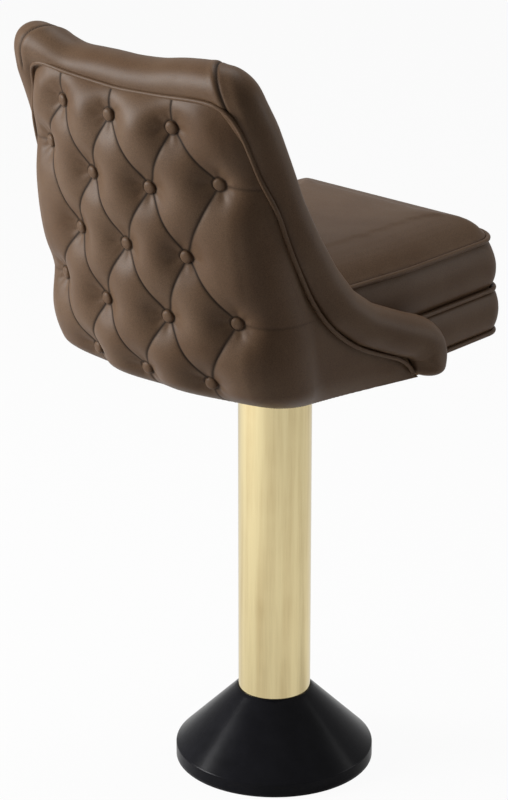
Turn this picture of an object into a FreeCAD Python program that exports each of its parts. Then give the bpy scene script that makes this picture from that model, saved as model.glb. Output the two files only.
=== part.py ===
import FreeCAD, Part
import Sketcher
import math
import os

# Counter stool, millimetres. The origin is on the floor under the column axis, +Z up.
# The sitter faces -Y, so the tufted outside of the back is on the +Y side.
# Seat and bucket are drawn from the underside of the seat board, and placed at its height.

doc = FreeCAD.newDocument("counter_stool")

SIZES = {
    # floor fixing and base cover
    "flange_diameter": 203.2, "flange_thickness": 10.0, "socket_height": 24.0, "bolt_circle": 165.1,
    "bolt_hole": 11.1, "cover_diameter": 279.4, "cover_height": 107.0, "cover_rim": 20.0,
    "cover_wall": 1.6, "cover_clearance": 0.3,
    # column
    "column_diameter": 101.6, "sleeve_wall": 1.5, "column_height": 596.0, "tube_diameter": 88.9,
    "tube_wall": 3.2, "fit_clearance": 0.2,
    # swivel
    "housing_flange": 8.0, "housing_length": 58.0, "spindle_diameter": 30.0, "shoulder_diameter": 38.0,
    "seat_gap": 10.0, "race_outer_diameter": 62.0, "race_width": 16.0, "race_wall": 4.5,
    "ball_diameter": 9.5, "ball_count": 9.0, "race_clearance": 0.05, "bush_diameter": 38.0,
    "bush_length": 20.0, "running_clearance": 0.04, "thrust_clearance": 0.1, "washer_thickness": 2.0,
    "clip_thickness": 2.0, "clip_diameter": 37.0, "clip_groove": 1.4, "spindle_tail": 6.0,
    # mounting plate and its screws
    "plate_side": 200.0, "plate_thickness": 6.0, "plate_corner": 12.0, "plate_screw_pitch": 160.0,
    "screw_diameter": 8.0, "screw_head_across": 13.0, "screw_head_height": 5.3, "nut_barrel": 10.0,
    "nut_flange": 22.0, "nut_flange_thickness": 1.5,
    # seat
    "board_thickness": 15.0, "rail_height": 42.0, "rail_width": 20.0, "deck_thickness": 6.0,
    "seat_half_width": 183.0, "seat_front": 266.0, "seat_corner": 30.0,
    "seat_back": 182.0, "seat_back_corner": 62.0, "seat_back_half_width": 160.0, "seat_arm_start": 60.0,
    "seat_arm_radius": 150.0, "block_reach": 240.0, "band_rear": 10.0, "band_thickness": 3.0,
    "band_bulge": 2.0, "cushion_height": 70.0, "cushion_crown": 17.0,
    "cushion_bulge": 4.0, "soft_clearance": 0.4, "seat_welt_diameter": 7.0, "dust_cover_thickness": 1.2,
    # bucket
    "shell_wall": 8.0, "back_centre": 284.0, "back_lean": 0.134, "back_radius": 400.0,
    "corner_radius": 50.0, "bucket_half_width": 195.0, "top_narrowing": 5.0, "flare": 0.07,
    "flare_pivot": 100.0, "tuck_height": 90.0, "tuck_back": 32.0, "tuck_side": 17.0, "tuck_flare": 0.16,
    "bucket_bottom": 2.0, "rim_height": 431.0,
    # padding
    "button_depth": 26.0, "pillow_rise": 18.0, "crease_rise": 12.0, "top_edge_pad": 8.0,
    "side_pad": 12.0, "corner_pad": 22.0, "hem_pad": 4.0, "hem_rise": 50.0, "swell_low": 170.0,
    "swell_high": 320.0, "column_pitch": 94.0, "button_diameter": 19.0,
    "button_height": 6.0, "button_inset": 1.5, "button_gap": 0.5,
    "inner_pad": 20.0, "inner_pad_crown": 12.0, "inner_pad_hem": 12.0,
    "roll_radius": 29.0, "roll_setback": 20.0, "nose_fullness": 5.0,
    "back_welt_diameter": 6.0,
    # fixing of the bucket to the seat rails
    "shell_screw_diameter": 5.0, "shell_screw_head": 10.0, "shell_screw_length": 24.0,
    "shell_screw_sink": 5.0,
}

# Heights of the button rows over the board's underside, from the top row down.
BUTTON_ROWS = [390.0, 304.0, 218.0, 129.0, 42.0]

# How far the outer buttons of each row sit above the others in it.
OUTER_RISE = [0.0, 19.0, 0.0, 7.0, 0.0]

# Extra heights at which the bucket is drawn, where it tucks under towards the hem.
HEM_HEIGHTS = [12.0, 26.0]

# Line of the edge roll's middle, from the centre of the top to the end of the nose:
# half width, distance behind the column axis, height over the board's underside.
RIM_LINE = [
    (0.0, 266.0, 431.0), (52.0, 265.0, 432.5), (104.0, 263.0, 437.0), (136.0, 264.0, 441.0),
    (158.0, 264.0, 443.0), (174.0, 260.0, 436.0), (181.0, 252.0, 414.0), (184.0, 242.0, 390.0),
    (187.0, 223.0, 340.0), (189.0, 200.0, 285.0), (192.0, 170.0, 228.0), (195.0, 140.0, 178.0),
    (200.0, 105.0, 133.0), (205.0, 62.0, 101.0), (211.0, 4.0, 75.0), (216.0, -38.0, 60.0),
    (218.0, -62.0, 46.0), (219.0, -72.0, 26.0), (219.0, -73.0, 8.0),
]

# Sections of the edge roll on each side of the middle, and points of the welt beside it.
RIM_STEPS = 18
WELT_STEPS = 40

sheet = doc.addObject("Spreadsheet::Sheet", "Sizes")
for row, (alias, number) in enumerate(SIZES.items(), start=1):
    sheet.set("A%d" % row, alias)
    sheet.set("B%d" % row, str(number))
    sheet.setAlias("B%d" % row, alias)
doc.recompute()


class Size:
    """A size of the sheet, or a sum of several: its number and its expression."""

    def __init__(self, number, text):
        self.number = number
        self.text = text

    def __add__(self, other):
        other = as_size(other)
        return Size(self.number + other.number, "(%s + %s)" % (self.text, other.text))

    def __sub__(self, other):
        other = as_size(other)
        return Size(self.number - other.number, "(%s - %s)" % (self.text, other.text))

    def __mul__(self, factor):
        return Size(self.number * factor, "(%s * %s)" % (self.text, factor))

    def __truediv__(self, factor):
        return Size(self.number / factor, "(%s / %s)" % (self.text, factor))


def as_size(value):
    if isinstance(value, Size):
        return value
    return Size(float(value), str(float(value)))


def size(alias):
    return Size(SIZES[alias], "Sizes." + alias)


def bind(item, name, value):
    """Set a property of an object, or one of its placement, from a size."""
    item.setExpression(name, as_size(value).text)


# Heights that several pieces share.
column_top = size("column_height")
plate_bottom = column_top + size("seat_gap")
seat_base = plate_bottom + size("plate_thickness")
tube_top = column_top - size("housing_flange")
housing_bottom = tube_top - size("housing_length")
washer_top = housing_bottom - size("thrust_clearance")
clip_top = washer_top - size("washer_thickness")
clip_bottom = clip_top - size("clip_thickness")
spindle_bottom = clip_bottom - size("spindle_tail")
spindle_radius = size("spindle_diameter") / 2

pieces = []


def piece(item, label):
    item.Label = label
    pieces.append(item)
    return item


# PartDesign helpers

def new_body(label):
    body = doc.addObject("PartDesign::Body", label + "_body")
    return piece(body, label)


def origin_plane(body, role):
    for feature in body.Origin.OriginFeatures:
        if feature.Role == role:
            return feature


def new_sketch(body, name, plane="XY_Plane", height=None):
    sketch = body.newObject("Sketcher::SketchObject", name)
    sketch.AttachmentSupport = [(origin_plane(body, plane), "")]
    sketch.MapMode = "FlatFace"
    if height is not None:
        bind(sketch, "AttachmentOffset.Base.z", height)
    return sketch


def named_constraint(sketch, name, value, *parts):
    index = sketch.addConstraint(Sketcher.Constraint(*parts))
    sketch.renameConstraint(index, name)
    bind(sketch, "Constraints." + name, value)


def add_circle(sketch, name, radius, x=0.0, y=0.0):
    radius = as_size(radius)
    centre = FreeCAD.Vector(as_size(x).number, as_size(y).number, 0)
    index = sketch.addGeometry(Part.Circle(centre, FreeCAD.Vector(0, 0, 1), radius.number))
    if isinstance(x, Size) or isinstance(y, Size):
        named_constraint(sketch, name + "_x", x, "DistanceX", -1, 1, index, 3, as_size(x).number)
        named_constraint(sketch, name + "_y", y, "DistanceY", -1, 1, index, 3, as_size(y).number)
    else:
        sketch.addConstraint(Sketcher.Constraint("Coincident", index, 3, -1, 1))
    named_constraint(sketch, name + "_r", radius, "Radius", index, radius.number)


def add_outline(sketch, corners):
    """Closed outline of straight lines, each corner held by its two distances from the origin."""
    count = len(corners)
    spots = [FreeCAD.Vector(as_size(x).number, as_size(y).number, 0) for x, y in corners]
    for index in range(count):
        sketch.addGeometry(Part.LineSegment(spots[index], spots[(index + 1) % count]))
    for index in range(count):
        sketch.addConstraint(Sketcher.Constraint("Coincident", index, 2, (index + 1) % count, 1))
    for index, (x, y) in enumerate(corners):
        for axis, value in (("X", x), ("Y", y)):
            value = as_size(value)
            if value.number == 0.0:
                other = -2 if axis == "X" else -1
                sketch.addConstraint(Sketcher.Constraint("PointOnObject", index, 1, other))
            else:
                name = "corner%d_%s" % (index, axis.lower())
                parts = ("Distance" + axis, -1, 1, index, 1, value.number)
                named_constraint(sketch, name, value, *parts)


def turned(label, corners, height=None):
    """Body turned about the column axis from an outline of (radius, height) corners."""
    body = new_body(label)
    sketch = new_sketch(body, label + "_outline", "XZ_Plane")
    add_outline(sketch, corners)
    turn = body.newObject("PartDesign::Revolution", label + "_turn")
    turn.Profile = sketch
    turn.ReferenceAxis = (sketch, ["V_Axis"])
    turn.Angle = 360.0
    if height is not None:
        bind(body, "Placement.Base.z", height)
    return body


def ring(label, outer, inner, bottom, height):
    """Body padded from two circles: a tube, a washer or a bush."""
    body = new_body(label)
    sketch = new_sketch(body, label + "_outline")
    add_circle(sketch, "outer", outer)
    add_circle(sketch, "inner", inner)
    pad = body.newObject("PartDesign::Pad", label + "_pad")
    pad.Profile = sketch
    bind(pad, "Length", height)
    bind(body, "Placement.Base.z", bottom)
    return body


# Part helpers

def solid_of(kind, name, sizes, place=()):
    """Part primitive with its sizes and its place bound to the sheet."""
    item = doc.addObject("Part::" + kind, name)
    for key, value in sizes.items():
        bind(item, key, value)
    for axis, value in zip("xyz", place):
        bind(item, "Placement.Base." + axis, value)
    return item


def boolean(kind, name, base, tool):
    item = doc.addObject("Part::" + kind, name)
    item.Base = base
    item.Tool = tool
    return item


def group(label, items):
    item = doc.addObject("Part::Compound", label + "_group")
    item.Links = items
    return piece(item, label)


def shaped(label, shape):
    """Piece whose shape is worked out here, placed at the underside of the seat board."""
    item = doc.addObject("Part::Feature", label + "_shape")
    item.Shape = shape
    bind(item, "Placement.Base.z", seat_base)
    return piece(item, label)


# Floor flange: round plate with four bolt holes and a welded socket for the tube.

def make_floor_flange():
    body = new_body("floor_flange")
    plate = new_sketch(body, "flange_outline")
    add_circle(plate, "rim", size("flange_diameter") / 2)
    plate_pad = body.newObject("PartDesign::Pad", "flange_pad")
    plate_pad.Profile = plate
    bind(plate_pad, "Length", size("flange_thickness"))
    socket = new_sketch(body, "socket_outline", height=size("flange_thickness"))
    sleeve_bore = size("column_diameter") / 2 - size("sleeve_wall")
    add_circle(socket, "outer", sleeve_bore - size("fit_clearance"))
    socket_pad = body.newObject("PartDesign::Pad", "socket_pad")
    socket_pad.Profile = socket
    bind(socket_pad, "Length", size("socket_height"))
    bore = new_sketch(body, "bore_outline", height=size("flange_thickness"))
    add_circle(bore, "bore", size("tube_diameter") / 2)
    bore_cut = body.newObject("PartDesign::Pocket", "bore_cut")
    bore_cut.Profile = bore
    bore_cut.Reversed = True
    bind(bore_cut, "Length", size("socket_height"))
    hole = new_sketch(body, "bolt_hole_outline")
    add_circle(hole, "hole", size("bolt_hole") / 2, size("bolt_circle") / 2, Size(0.0, "0.0"))
    hole_cut = body.newObject("PartDesign::Pocket", "bolt_hole_cut")
    hole_cut.Profile = hole
    hole_cut.Reversed = True
    bind(hole_cut, "Length", size("flange_thickness"))
    doc.recompute()
    pattern = body.newObject("PartDesign::PolarPattern", "bolt_holes")
    pattern.Originals = [hole_cut]
    pattern.Axis = (hole, ["N_Axis"])
    pattern.Angle = 360.0
    pattern.Occurrences = 4
    body.Tip = pattern
    doc.recompute()
    return body


# Base cover: spun cone that slides down the column, with an upright rim on the floor.

def make_base_cover():
    collar = size("column_diameter") / 2 + size("cover_clearance")
    rim = size("cover_diameter") / 2
    wall = size("cover_wall")
    corners = [
        (rim - wall, 0.0),
        (rim, 0.0),
        (rim, size("cover_rim")),
        (collar + wall, size("cover_height")),
        (collar, size("cover_height")),
        (collar, size("cover_height") - wall * 2),
        (rim - wall, size("cover_rim") - wall * 0.5),
    ]
    return turned("base_cover", corners)


def make_column():
    ring("column_tube", size("tube_diameter") / 2, size("tube_diameter") / 2 - size("tube_wall"),
         size("flange_thickness"), tube_top - size("flange_thickness"))
    ring("column_sleeve", size("column_diameter") / 2, size("column_diameter") / 2 - size("sleeve_wall"),
         size("flange_thickness"), column_top - size("flange_thickness"))


# Bearing housing: plug in the head of the tube, with a pocket for the bearing and one for the bush.

def make_housing():
    race = size("race_outer_diameter") / 2
    bush = size("bush_diameter") / 2
    bore = spindle_radius + 2
    plug = size("tube_diameter") / 2 - size("tube_wall")
    flange = size("column_diameter") / 2 - size("sleeve_wall") - size("fit_clearance")
    bush_top = housing_bottom + size("bush_length")
    race_bottom = column_top - size("race_width")
    corners = [
        (bush, housing_bottom), (plug, housing_bottom), (plug, tube_top), (flange, tube_top),
        (flange, column_top), (race, column_top), (race, race_bottom), (bore, race_bottom),
        (bore, bush_top), (bush, bush_top),
    ]
    turned("bearing_housing", corners)
    ring("lower_bush", bush, spindle_radius + size("running_clearance"), housing_bottom,
         size("bush_length"))


# Ball bearing: two races with a groove for the balls between them.

def make_bearing():
    race = size("race_outer_diameter") / 2
    wall = size("race_wall")
    bottom = column_top - size("race_width")
    middle = column_top - size("race_width") / 2
    pitch = (race + spindle_radius) / 2
    groove = size("ball_diameter") / 2 + size("race_clearance")
    for label, outer, inner in (("bearing_outer_race", race, race - wall),
                                ("bearing_inner_race", spindle_radius + wall, spindle_radius)):
        blank = solid_of("Cylinder", label + "_blank", {"Radius": outer, "Height": size("race_width")},
                         (0.0, 0.0, bottom))
        bore = solid_of("Cylinder", label + "_bore", {"Radius": inner, "Height": size("race_width")},
                        (0.0, 0.0, bottom))
        tube = boolean("Cut", label + "_tube", blank, bore)
        track = solid_of("Torus", label + "_track", {"Radius1": pitch, "Radius2": groove},
                         (0.0, 0.0, middle))
        piece(boolean("Cut", label + "_cut", tube, track), label)
    balls = []
    count = int(SIZES["ball_count"])
    for index in range(count):
        turn = 2 * math.pi * index / count
        place = (pitch * math.cos(turn), pitch * math.sin(turn), middle)
        balls.append(solid_of("Sphere", "ball%d" % index, {"Radius": size("ball_diameter") / 2}, place))
    group("bearing_balls", balls)


# Spindle: turned shaft with a shoulder on the inner race, a spigot in the plate and a clip groove.

def make_spindle():
    shoulder = size("shoulder_diameter") / 2
    groove = spindle_radius - size("clip_groove")
    corners = [
        (0.0, spindle_bottom), (spindle_radius, spindle_bottom), (spindle_radius, clip_bottom),
        (groove, clip_bottom), (groove, clip_top), (spindle_radius, clip_top),
        (spindle_radius, column_top), (shoulder, column_top), (shoulder, plate_bottom),
        (spindle_radius, plate_bottom), (spindle_radius, seat_base), (0.0, seat_base),
    ]
    turned("swivel_spindle", corners)
    ring("thrust_washer", size("bush_diameter") / 2, spindle_radius, clip_top,
         size("washer_thickness"))
    clip = size("clip_diameter") / 2
    disc = solid_of("Cylinder", "clip_disc", {"Radius": clip, "Height": size("clip_thickness")},
                    (0.0, 0.0, clip_bottom))
    bore = solid_of("Cylinder", "clip_bore", {"Radius": groove, "Height": size("clip_thickness")},
                    (0.0, 0.0, clip_bottom))
    clip_ring = boolean("Cut", "clip_ring", disc, bore)
    mouth = solid_of("Box", "clip_mouth", {"Length": clip, "Width": groove, "Height": size("clip_thickness")},
                     (0.0, groove / -2, clip_bottom))
    piece(boolean("Cut", "clip_cut", clip_ring, mouth), "retaining_clip")


# Mounting plate: square steel plate on the spindle's spigot, screwed to the seat board.

def make_plate():
    half = size("plate_side") / 2
    body = new_body("seat_mounting_plate")
    outline = new_sketch(body, "plate_outline")
    add_outline(outline, [(half * -1, half * -1), (half, half * -1), (half, half), (half * -1, half)])
    pad = body.newObject("PartDesign::Pad", "plate_pad")
    pad.Profile = outline
    bind(pad, "Length", size("plate_thickness"))
    bore = new_sketch(body, "spigot_outline")
    add_circle(bore, "spigot", spindle_radius)
    bore_cut = body.newObject("PartDesign::Pocket", "spigot_cut")
    bore_cut.Profile = bore
    bore_cut.Reversed = True
    bind(bore_cut, "Length", size("plate_thickness"))
    reach = size("plate_screw_pitch") / 2
    hole = new_sketch(body, "screw_hole_outline")
    add_circle(hole, "hole", size("screw_diameter") / 2, reach, reach)
    hole_cut = body.newObject("PartDesign::Pocket", "screw_hole_cut")
    hole_cut.Profile = hole
    hole_cut.Reversed = True
    bind(hole_cut, "Length", size("plate_thickness"))
    doc.recompute()
    pattern = body.newObject("PartDesign::PolarPattern", "screw_holes")
    pattern.Originals = [hole_cut]
    pattern.Axis = (hole, ["N_Axis"])
    pattern.Angle = 360.0
    pattern.Occurrences = 4
    body.Tip = pattern
    bind(body, "Placement.Base.z", plate_bottom)
    doc.recompute()
    edges = []
    for index, edge in enumerate(pattern.Shape.Edges, start=1):
        upright = abs(edge.Vertexes[0].Z - edge.Vertexes[-1].Z) > 1.0
        if upright and abs(edge.CenterOfMass.x) > half.number - 0.1:
            edges.append("Edge%d" % index)
    rounding = body.newObject("PartDesign::Fillet", "plate_rounding")
    rounding.Base = (pattern, edges)
    bind(rounding, "Radius", size("plate_corner"))
    body.Tip = rounding
    doc.recompute()


def make_plate_screws():
    reach = size("plate_screw_pitch") / 2
    board_top = seat_base + size("board_thickness")
    barrel = size("board_thickness") - 4
    screws = []
    nuts = []
    for index, (side_x, side_y) in enumerate(((1, 1), (-1, 1), (-1, -1), (1, -1))):
        spot = (reach * side_x, reach * side_y)
        head = doc.addObject("Part::Prism", "screw_head%d" % index)
        head.Polygon = 6
        bind(head, "Circumradius", size("screw_head_across") / math.sqrt(3.0))
        bind(head, "Height", size("screw_head_height"))
        head_place = spot + (plate_bottom - size("screw_head_height"),)
        for axis, value in zip("xyz", head_place):
            bind(head, "Placement.Base." + axis, value)
        shank = solid_of("Cylinder", "screw_shank%d" % index,
                         {"Radius": size("screw_diameter") / 2,
                          "Height": size("plate_thickness") + size("board_thickness")},
                         spot + (plate_bottom,))
        screws.append(boolean("Fuse", "plate_screw%d" % index, head, shank))
        flange = solid_of("Cylinder", "nut_flange%d" % index,
                          {"Radius": size("nut_flange") / 2, "Height": size("nut_flange_thickness")},
                          spot + (board_top,))
        sleeve = solid_of("Cylinder", "nut_sleeve%d" % index,
                          {"Radius": size("nut_barrel") / 2, "Height": barrel},
                          spot + (board_top - barrel,))
        nut = boolean("Fuse", "nut%d" % index, flange, sleeve)
        thread = solid_of("Cylinder", "nut_thread%d" % index,
                          {"Radius": size("screw_diameter") / 2,
                           "Height": barrel + size("nut_flange_thickness")},
                          spot + (board_top - barrel,))
        nuts.append(boolean("Cut", "tee_nut%d" % index, nut, thread))
    group("plate_screws", screws)
    group("tee_nuts", nuts)


# Drawing helpers for the seat and the bucket

def point(x, y, z):
    return FreeCAD.Vector(x, y, z)


def line(start, end):
    return Part.makeLine(start, end)


def arc(start, middle, end):
    return Part.Arc(start, middle, end).toShape()


def rounded_loop(corners, z):
    """Closed wire through plan corners (x, y, radius), each rounded by a tangent arc."""
    count = len(corners)
    spots = [point(x, y, z) for x, y, radius in corners]
    ends = []
    for index in range(count):
        spot = spots[index]
        before = (spots[index - 1] - spot).normalize()
        after = (spots[(index + 1) % count] - spot).normalize()
        half_turn = before.getAngle(after) / 2
        radius = corners[index][2]
        reach = radius / math.tan(half_turn)
        inward = (before + after).normalize()
        middle = spot + inward * (radius / math.sin(half_turn) - radius)
        ends.append((spot + before * reach, middle, spot + after * reach))
    edges = []
    for index in range(count):
        start, middle, end = ends[index]
        edges.append(arc(start, middle, end))
        edges.append(line(end, ends[(index + 1) % count][0]))
    return Part.Wire(edges)


def mirrored(spot):
    return point(-spot.x, spot.y, spot.z)


def raised(wire, height):
    return Part.Face(wire).extrude(point(0, 0, height))


# Plan of the bucket: an arc across the back, two corner arcs and two sides that flare forward.

def bucket_plan(z):
    rim = SIZES["rim_height"]
    tuck = SIZES["tuck_height"]
    below = max(0.0, (tuck - z) / tuck)
    above = max(0.0, (z - tuck) / (rim - tuck))
    back = SIZES["back_centre"] - SIZES["back_lean"] * (rim - z) - SIZES["tuck_back"] * below ** 2
    half = SIZES["bucket_half_width"] - SIZES["tuck_side"] * below ** 2
    half -= SIZES["top_narrowing"] * above ** 2
    turn = SIZES["flare"] + SIZES["tuck_flare"] * below ** 2
    outward = point(math.cos(turn), math.sin(turn), 0)
    backward = point(-math.sin(turn), math.cos(turn), 0)
    back_radius = SIZES["back_radius"]
    corner_radius = SIZES["corner_radius"]
    centre = point(0, back - back_radius, z)
    side = outward.dot(point(half, SIZES["flare_pivot"], 0))
    across = side - corner_radius - outward.dot(centre)
    along = math.sqrt((back_radius - corner_radius) ** 2 - across ** 2)
    corner = centre + outward * across + backward * along
    meeting = (corner - centre).normalize()
    back_angle = math.atan2(meeting.x, meeting.y)
    side_angle = math.pi / 2 - turn
    return {
        "z": z, "outward": outward, "backward": backward, "centre": centre, "corner": corner,
        "side": side, "back_angle": back_angle, "side_angle": side_angle,
        "back_length": back_radius * back_angle,
        "corner_length": corner_radius * (side_angle - back_angle),
    }


def wall_direction(plan, reach):
    """Outward direction of the shell at a distance round it from the middle of the back."""
    distance = abs(reach)
    if distance <= plan["back_length"]:
        angle = distance / SIZES["back_radius"]
    elif distance <= plan["back_length"] + plan["corner_length"]:
        angle = plan["back_angle"] + (distance - plan["back_length"]) / SIZES["corner_radius"]
    else:
        angle = plan["side_angle"]
    return point(math.copysign(math.sin(angle), reach), math.cos(angle), 0)


def wall_point(plan, reach, offset):
    """Point over the shell's outer face, at a distance round it from the middle of the back."""
    distance = abs(reach)
    direction = wall_direction(plan, distance)
    if distance <= plan["back_length"]:
        spot = plan["centre"] + direction * (SIZES["back_radius"] + offset)
    else:
        spot = plan["corner"] + direction * (SIZES["corner_radius"] + offset)
        past = distance - plan["back_length"] - plan["corner_length"]
        if past > 0:
            spot = spot - plan["backward"] * past
    if reach < 0:
        spot = mirrored(spot)
    return spot


def side_point(plan, y, offset):
    x = (plan["side"] + offset - plan["outward"].y * y) / plan["outward"].x
    return point(x, y, plan["z"])


def wall_offset(spot):
    """How far a point stands out from the shell's outer face, level with it."""
    plan = bucket_plan(spot.z)
    flat = point(abs(spot.x), spot.y, spot.z)
    from_centre = flat - plan["centre"]
    if math.atan2(from_centre.x, from_centre.y) <= plan["back_angle"]:
        return from_centre.Length - SIZES["back_radius"]
    from_corner = flat - plan["corner"]
    angle = math.atan2(from_corner.x, from_corner.y)
    if 0 <= angle <= plan["side_angle"]:
        return from_corner.Length - SIZES["corner_radius"]
    return plan["outward"].dot(flat) - plan["side"]


def plain_path(plan, front, side, corner, shoulder, middle):
    """Edges from the right arm round the back to the left arm, at offsets from the shell's face."""
    turned_in = plan["back_length"] + plan["corner_length"]
    start = side_point(plan, front, side)
    corner_end = wall_point(plan, turned_in, side)
    corner_middle = wall_point(plan, plan["back_length"] + plan["corner_length"] / 2, corner)
    corner_start = wall_point(plan, plan["back_length"], shoulder)
    back_middle = wall_point(plan, 0.0, middle)
    return [
        line(start, corner_end),
        arc(corner_end, corner_middle, corner_start),
        arc(corner_start, back_middle, mirrored(corner_start)),
        arc(mirrored(corner_start), mirrored(corner_middle), mirrored(corner_end)),
        line(mirrored(corner_end), mirrored(start)),
    ]


def ends_of(path):
    first = path[0].Vertexes
    last = path[-1].Vertexes
    return first[0].Point, last[-1].Point


def closed_loop(outer, inner):
    """Wire round a wall between an outer and an inner path."""
    outer_start, outer_end = ends_of(outer)
    inner_start, inner_end = ends_of(inner)
    edges = outer + [line(outer_end, inner_end)] + list(reversed(inner))
    edges.append(line(inner_start, outer_start))
    return Part.Wire(edges)


def even_path(plan, front, offset):
    return plain_path(plan, front, offset, offset, offset, offset)


# Heights at which the bucket's sections are drawn: hem, button rows and half way between them.
rows_up = list(reversed(BUTTON_ROWS))
half_ways = [(low + high) / 2 for low, high in zip(rows_up[:-1], rows_up[1:])]
pad_top = SIZES["rim_height"] - SIZES["roll_setback"] + 1
section_heights = sorted([SIZES["bucket_bottom"], pad_top] + HEM_HEIGHTS + rows_up + half_ways)
arm_front = -140.0


# Edge roll: padded bolster over the rim, a loft of round sections square to the rim line.

def rim_points(steps):
    """Evenly spaced points along the rim line, from the left nose over the top to the right one."""
    right = [point(*spot) for spot in RIM_LINE]
    left = [mirrored(spot) for spot in reversed(right[1:])]
    curve = Part.BSplineCurve()
    curve.interpolate(left + right)
    return curve.discretize(Number=2 * steps + 1)


def directions_along(spots):
    directions = []
    for index in range(len(spots)):
        before = spots[max(index - 1, 0)]
        after = spots[min(index + 1, len(spots) - 1)]
        directions.append((after - before).normalize())
    return directions


def carried_frames(spots):
    """A pair of crosswise directions at each point, carried along the line without twist."""
    directions = directions_along(spots)
    middle = len(spots) // 2
    frames = [None] * len(spots)
    for step in (1, -1):
        upward = point(0, 0, 1)
        index = middle
        while 0 <= index < len(spots):
            direction = directions[index]
            upward = (upward - direction * upward.dot(direction)).normalize()
            frames[index] = (upward, direction.cross(upward).normalize())
            index += step
    return frames


def round_section(centre, frame, radius):
    upward, sideways = frame
    spots = []
    for eighth in range(8):
        angle = math.pi * eighth / 4
        spots.append(centre + upward * (radius * math.cos(angle)) + sideways * (radius * math.sin(angle)))
    spots.append(spots[0])
    return Part.Wire([arc(spots[k], spots[k + 1], spots[k + 2]) for k in (0, 2, 4, 6)])


def roll_solid(radius):
    spots = rim_points(RIM_STEPS)
    frames = carried_frames(spots)
    sections = [round_section(spot, frame, radius) for spot, frame in zip(spots, frames)]
    # the nose closes under the arm in two smaller sections
    for drop, share in ((9.0, 0.82), (15.0, 0.5)):
        down = point(0, 0, -drop)
        sections.insert(0, round_section(spots[0] + down, frames[0], radius * share))
        sections.append(round_section(spots[-1] + down, frames[-1], radius * share))
    return Part.makeLoft(sections, True, False)


# Side outline of the bucket: what lies behind and under the rim line by a setback, over the hem.

def side_block(setback):
    reach = 400.0
    behind = 480.0
    hem = SIZES["bucket_bottom"]
    top = SIZES["rim_height"] - setback
    side = [point(0, y, z) for x, y, z in RIM_LINE[6:]]
    outline = [point(0, behind, top)]
    for spot, direction in zip(side, directions_along(side)):
        moved = spot + point(0, -direction.z, direction.y) * setback
        outline.append(point(0, moved.y, min(moved.z, top)))
    outline += [point(0, outline[-1].y, hem), point(0, behind, hem)]
    wire = Part.makePolygon(outline + outline[:1])
    block = Part.Face(wire).extrude(point(2 * reach, 0, 0))
    block.translate(point(-reach, 0, 0))
    return block


def make_bucket_shell(block):
    loops = []
    for z in section_heights:
        plan = bucket_plan(z)
        loops.append(closed_loop(even_path(plan, arm_front, 0.0),
                                 even_path(plan, arm_front, -SIZES["shell_wall"])))
    shell = Part.makeLoft(loops, True, False)
    return shell.common(block)


def inner_pad_loop(z):
    plan = bucket_plan(z)
    near = -SIZES["shell_wall"] - SIZES["soft_clearance"]
    low = inner_pad_bottom
    span = (z - low) / (SIZES["rim_height"] - low)
    crown = SIZES["inner_pad_crown"] * math.sin(math.pi * min(max(span, 0.0), 1.0))
    hem = near - SIZES["inner_pad_hem"]
    deep = near - SIZES["inner_pad"] - crown
    return closed_loop(even_path(plan, arm_front, near),
                       plain_path(plan, arm_front, hem, (hem + deep) / 2, (hem + deep) / 2, deep))


def side_pad(z):
    """Thickness of the outer padding along the arms: thin there and fuller up the back's sides."""
    low = SIZES["swell_low"]
    share = min(max((z - low) / (SIZES["swell_high"] - low), 0.0), 1.0)
    thick = SIZES["side_pad"] + (SIZES["corner_pad"] - SIZES["side_pad"]) * share
    hem_share = min(max((z - SIZES["bucket_bottom"]) / SIZES["hem_rise"], 0.0), 1.0)
    return SIZES["hem_pad"] + (thick - SIZES["hem_pad"]) * hem_share


def crease_reaches(z):
    """Distances round the back of the six crease lines, which meet in pairs at the buttons."""
    pitch = SIZES["column_pitch"]
    button = SIZES["button_diameter"] / 2 - SIZES["button_inset"]
    three = [pitch + button, pitch - button, button]
    four = [1.5 * pitch, 0.5 * pitch + button, 0.5 * pitch - button]
    if z in BUTTON_ROWS:
        chosen = three if BUTTON_ROWS.index(z) % 2 == 0 else four
    elif BUTTON_ROWS[-1] < z < BUTTON_ROWS[0]:
        chosen = [(a + b) / 2 for a, b in zip(three, four)]
    else:
        chosen = three
    return chosen + [-reach for reach in reversed(chosen)]


def crease_and_crest(z):
    """Thickness of the padding in the creases and on top of the pillows at a height."""
    deep = SIZES["button_depth"]
    if z in BUTTON_ROWS:
        return deep, deep + SIZES["pillow_rise"]
    if z > BUTTON_ROWS[0]:
        return SIZES["top_edge_pad"] - 3, SIZES["top_edge_pad"]
    if z < BUTTON_ROWS[-1]:
        # from the thin hem the padding rises in a quarter wave
        span = BUTTON_ROWS[-1] - SIZES["bucket_bottom"]
        share = math.sin(math.pi / 2 * (z - SIZES["bucket_bottom"]) / span)
        hem = SIZES["hem_pad"]
        return hem - 1 + (deep - hem + 1) * share, hem + 1 + (deep + SIZES["pillow_rise"] - hem - 1) * share
    return deep + SIZES["crease_rise"], deep + SIZES["pillow_rise"] * 0.75


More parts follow.
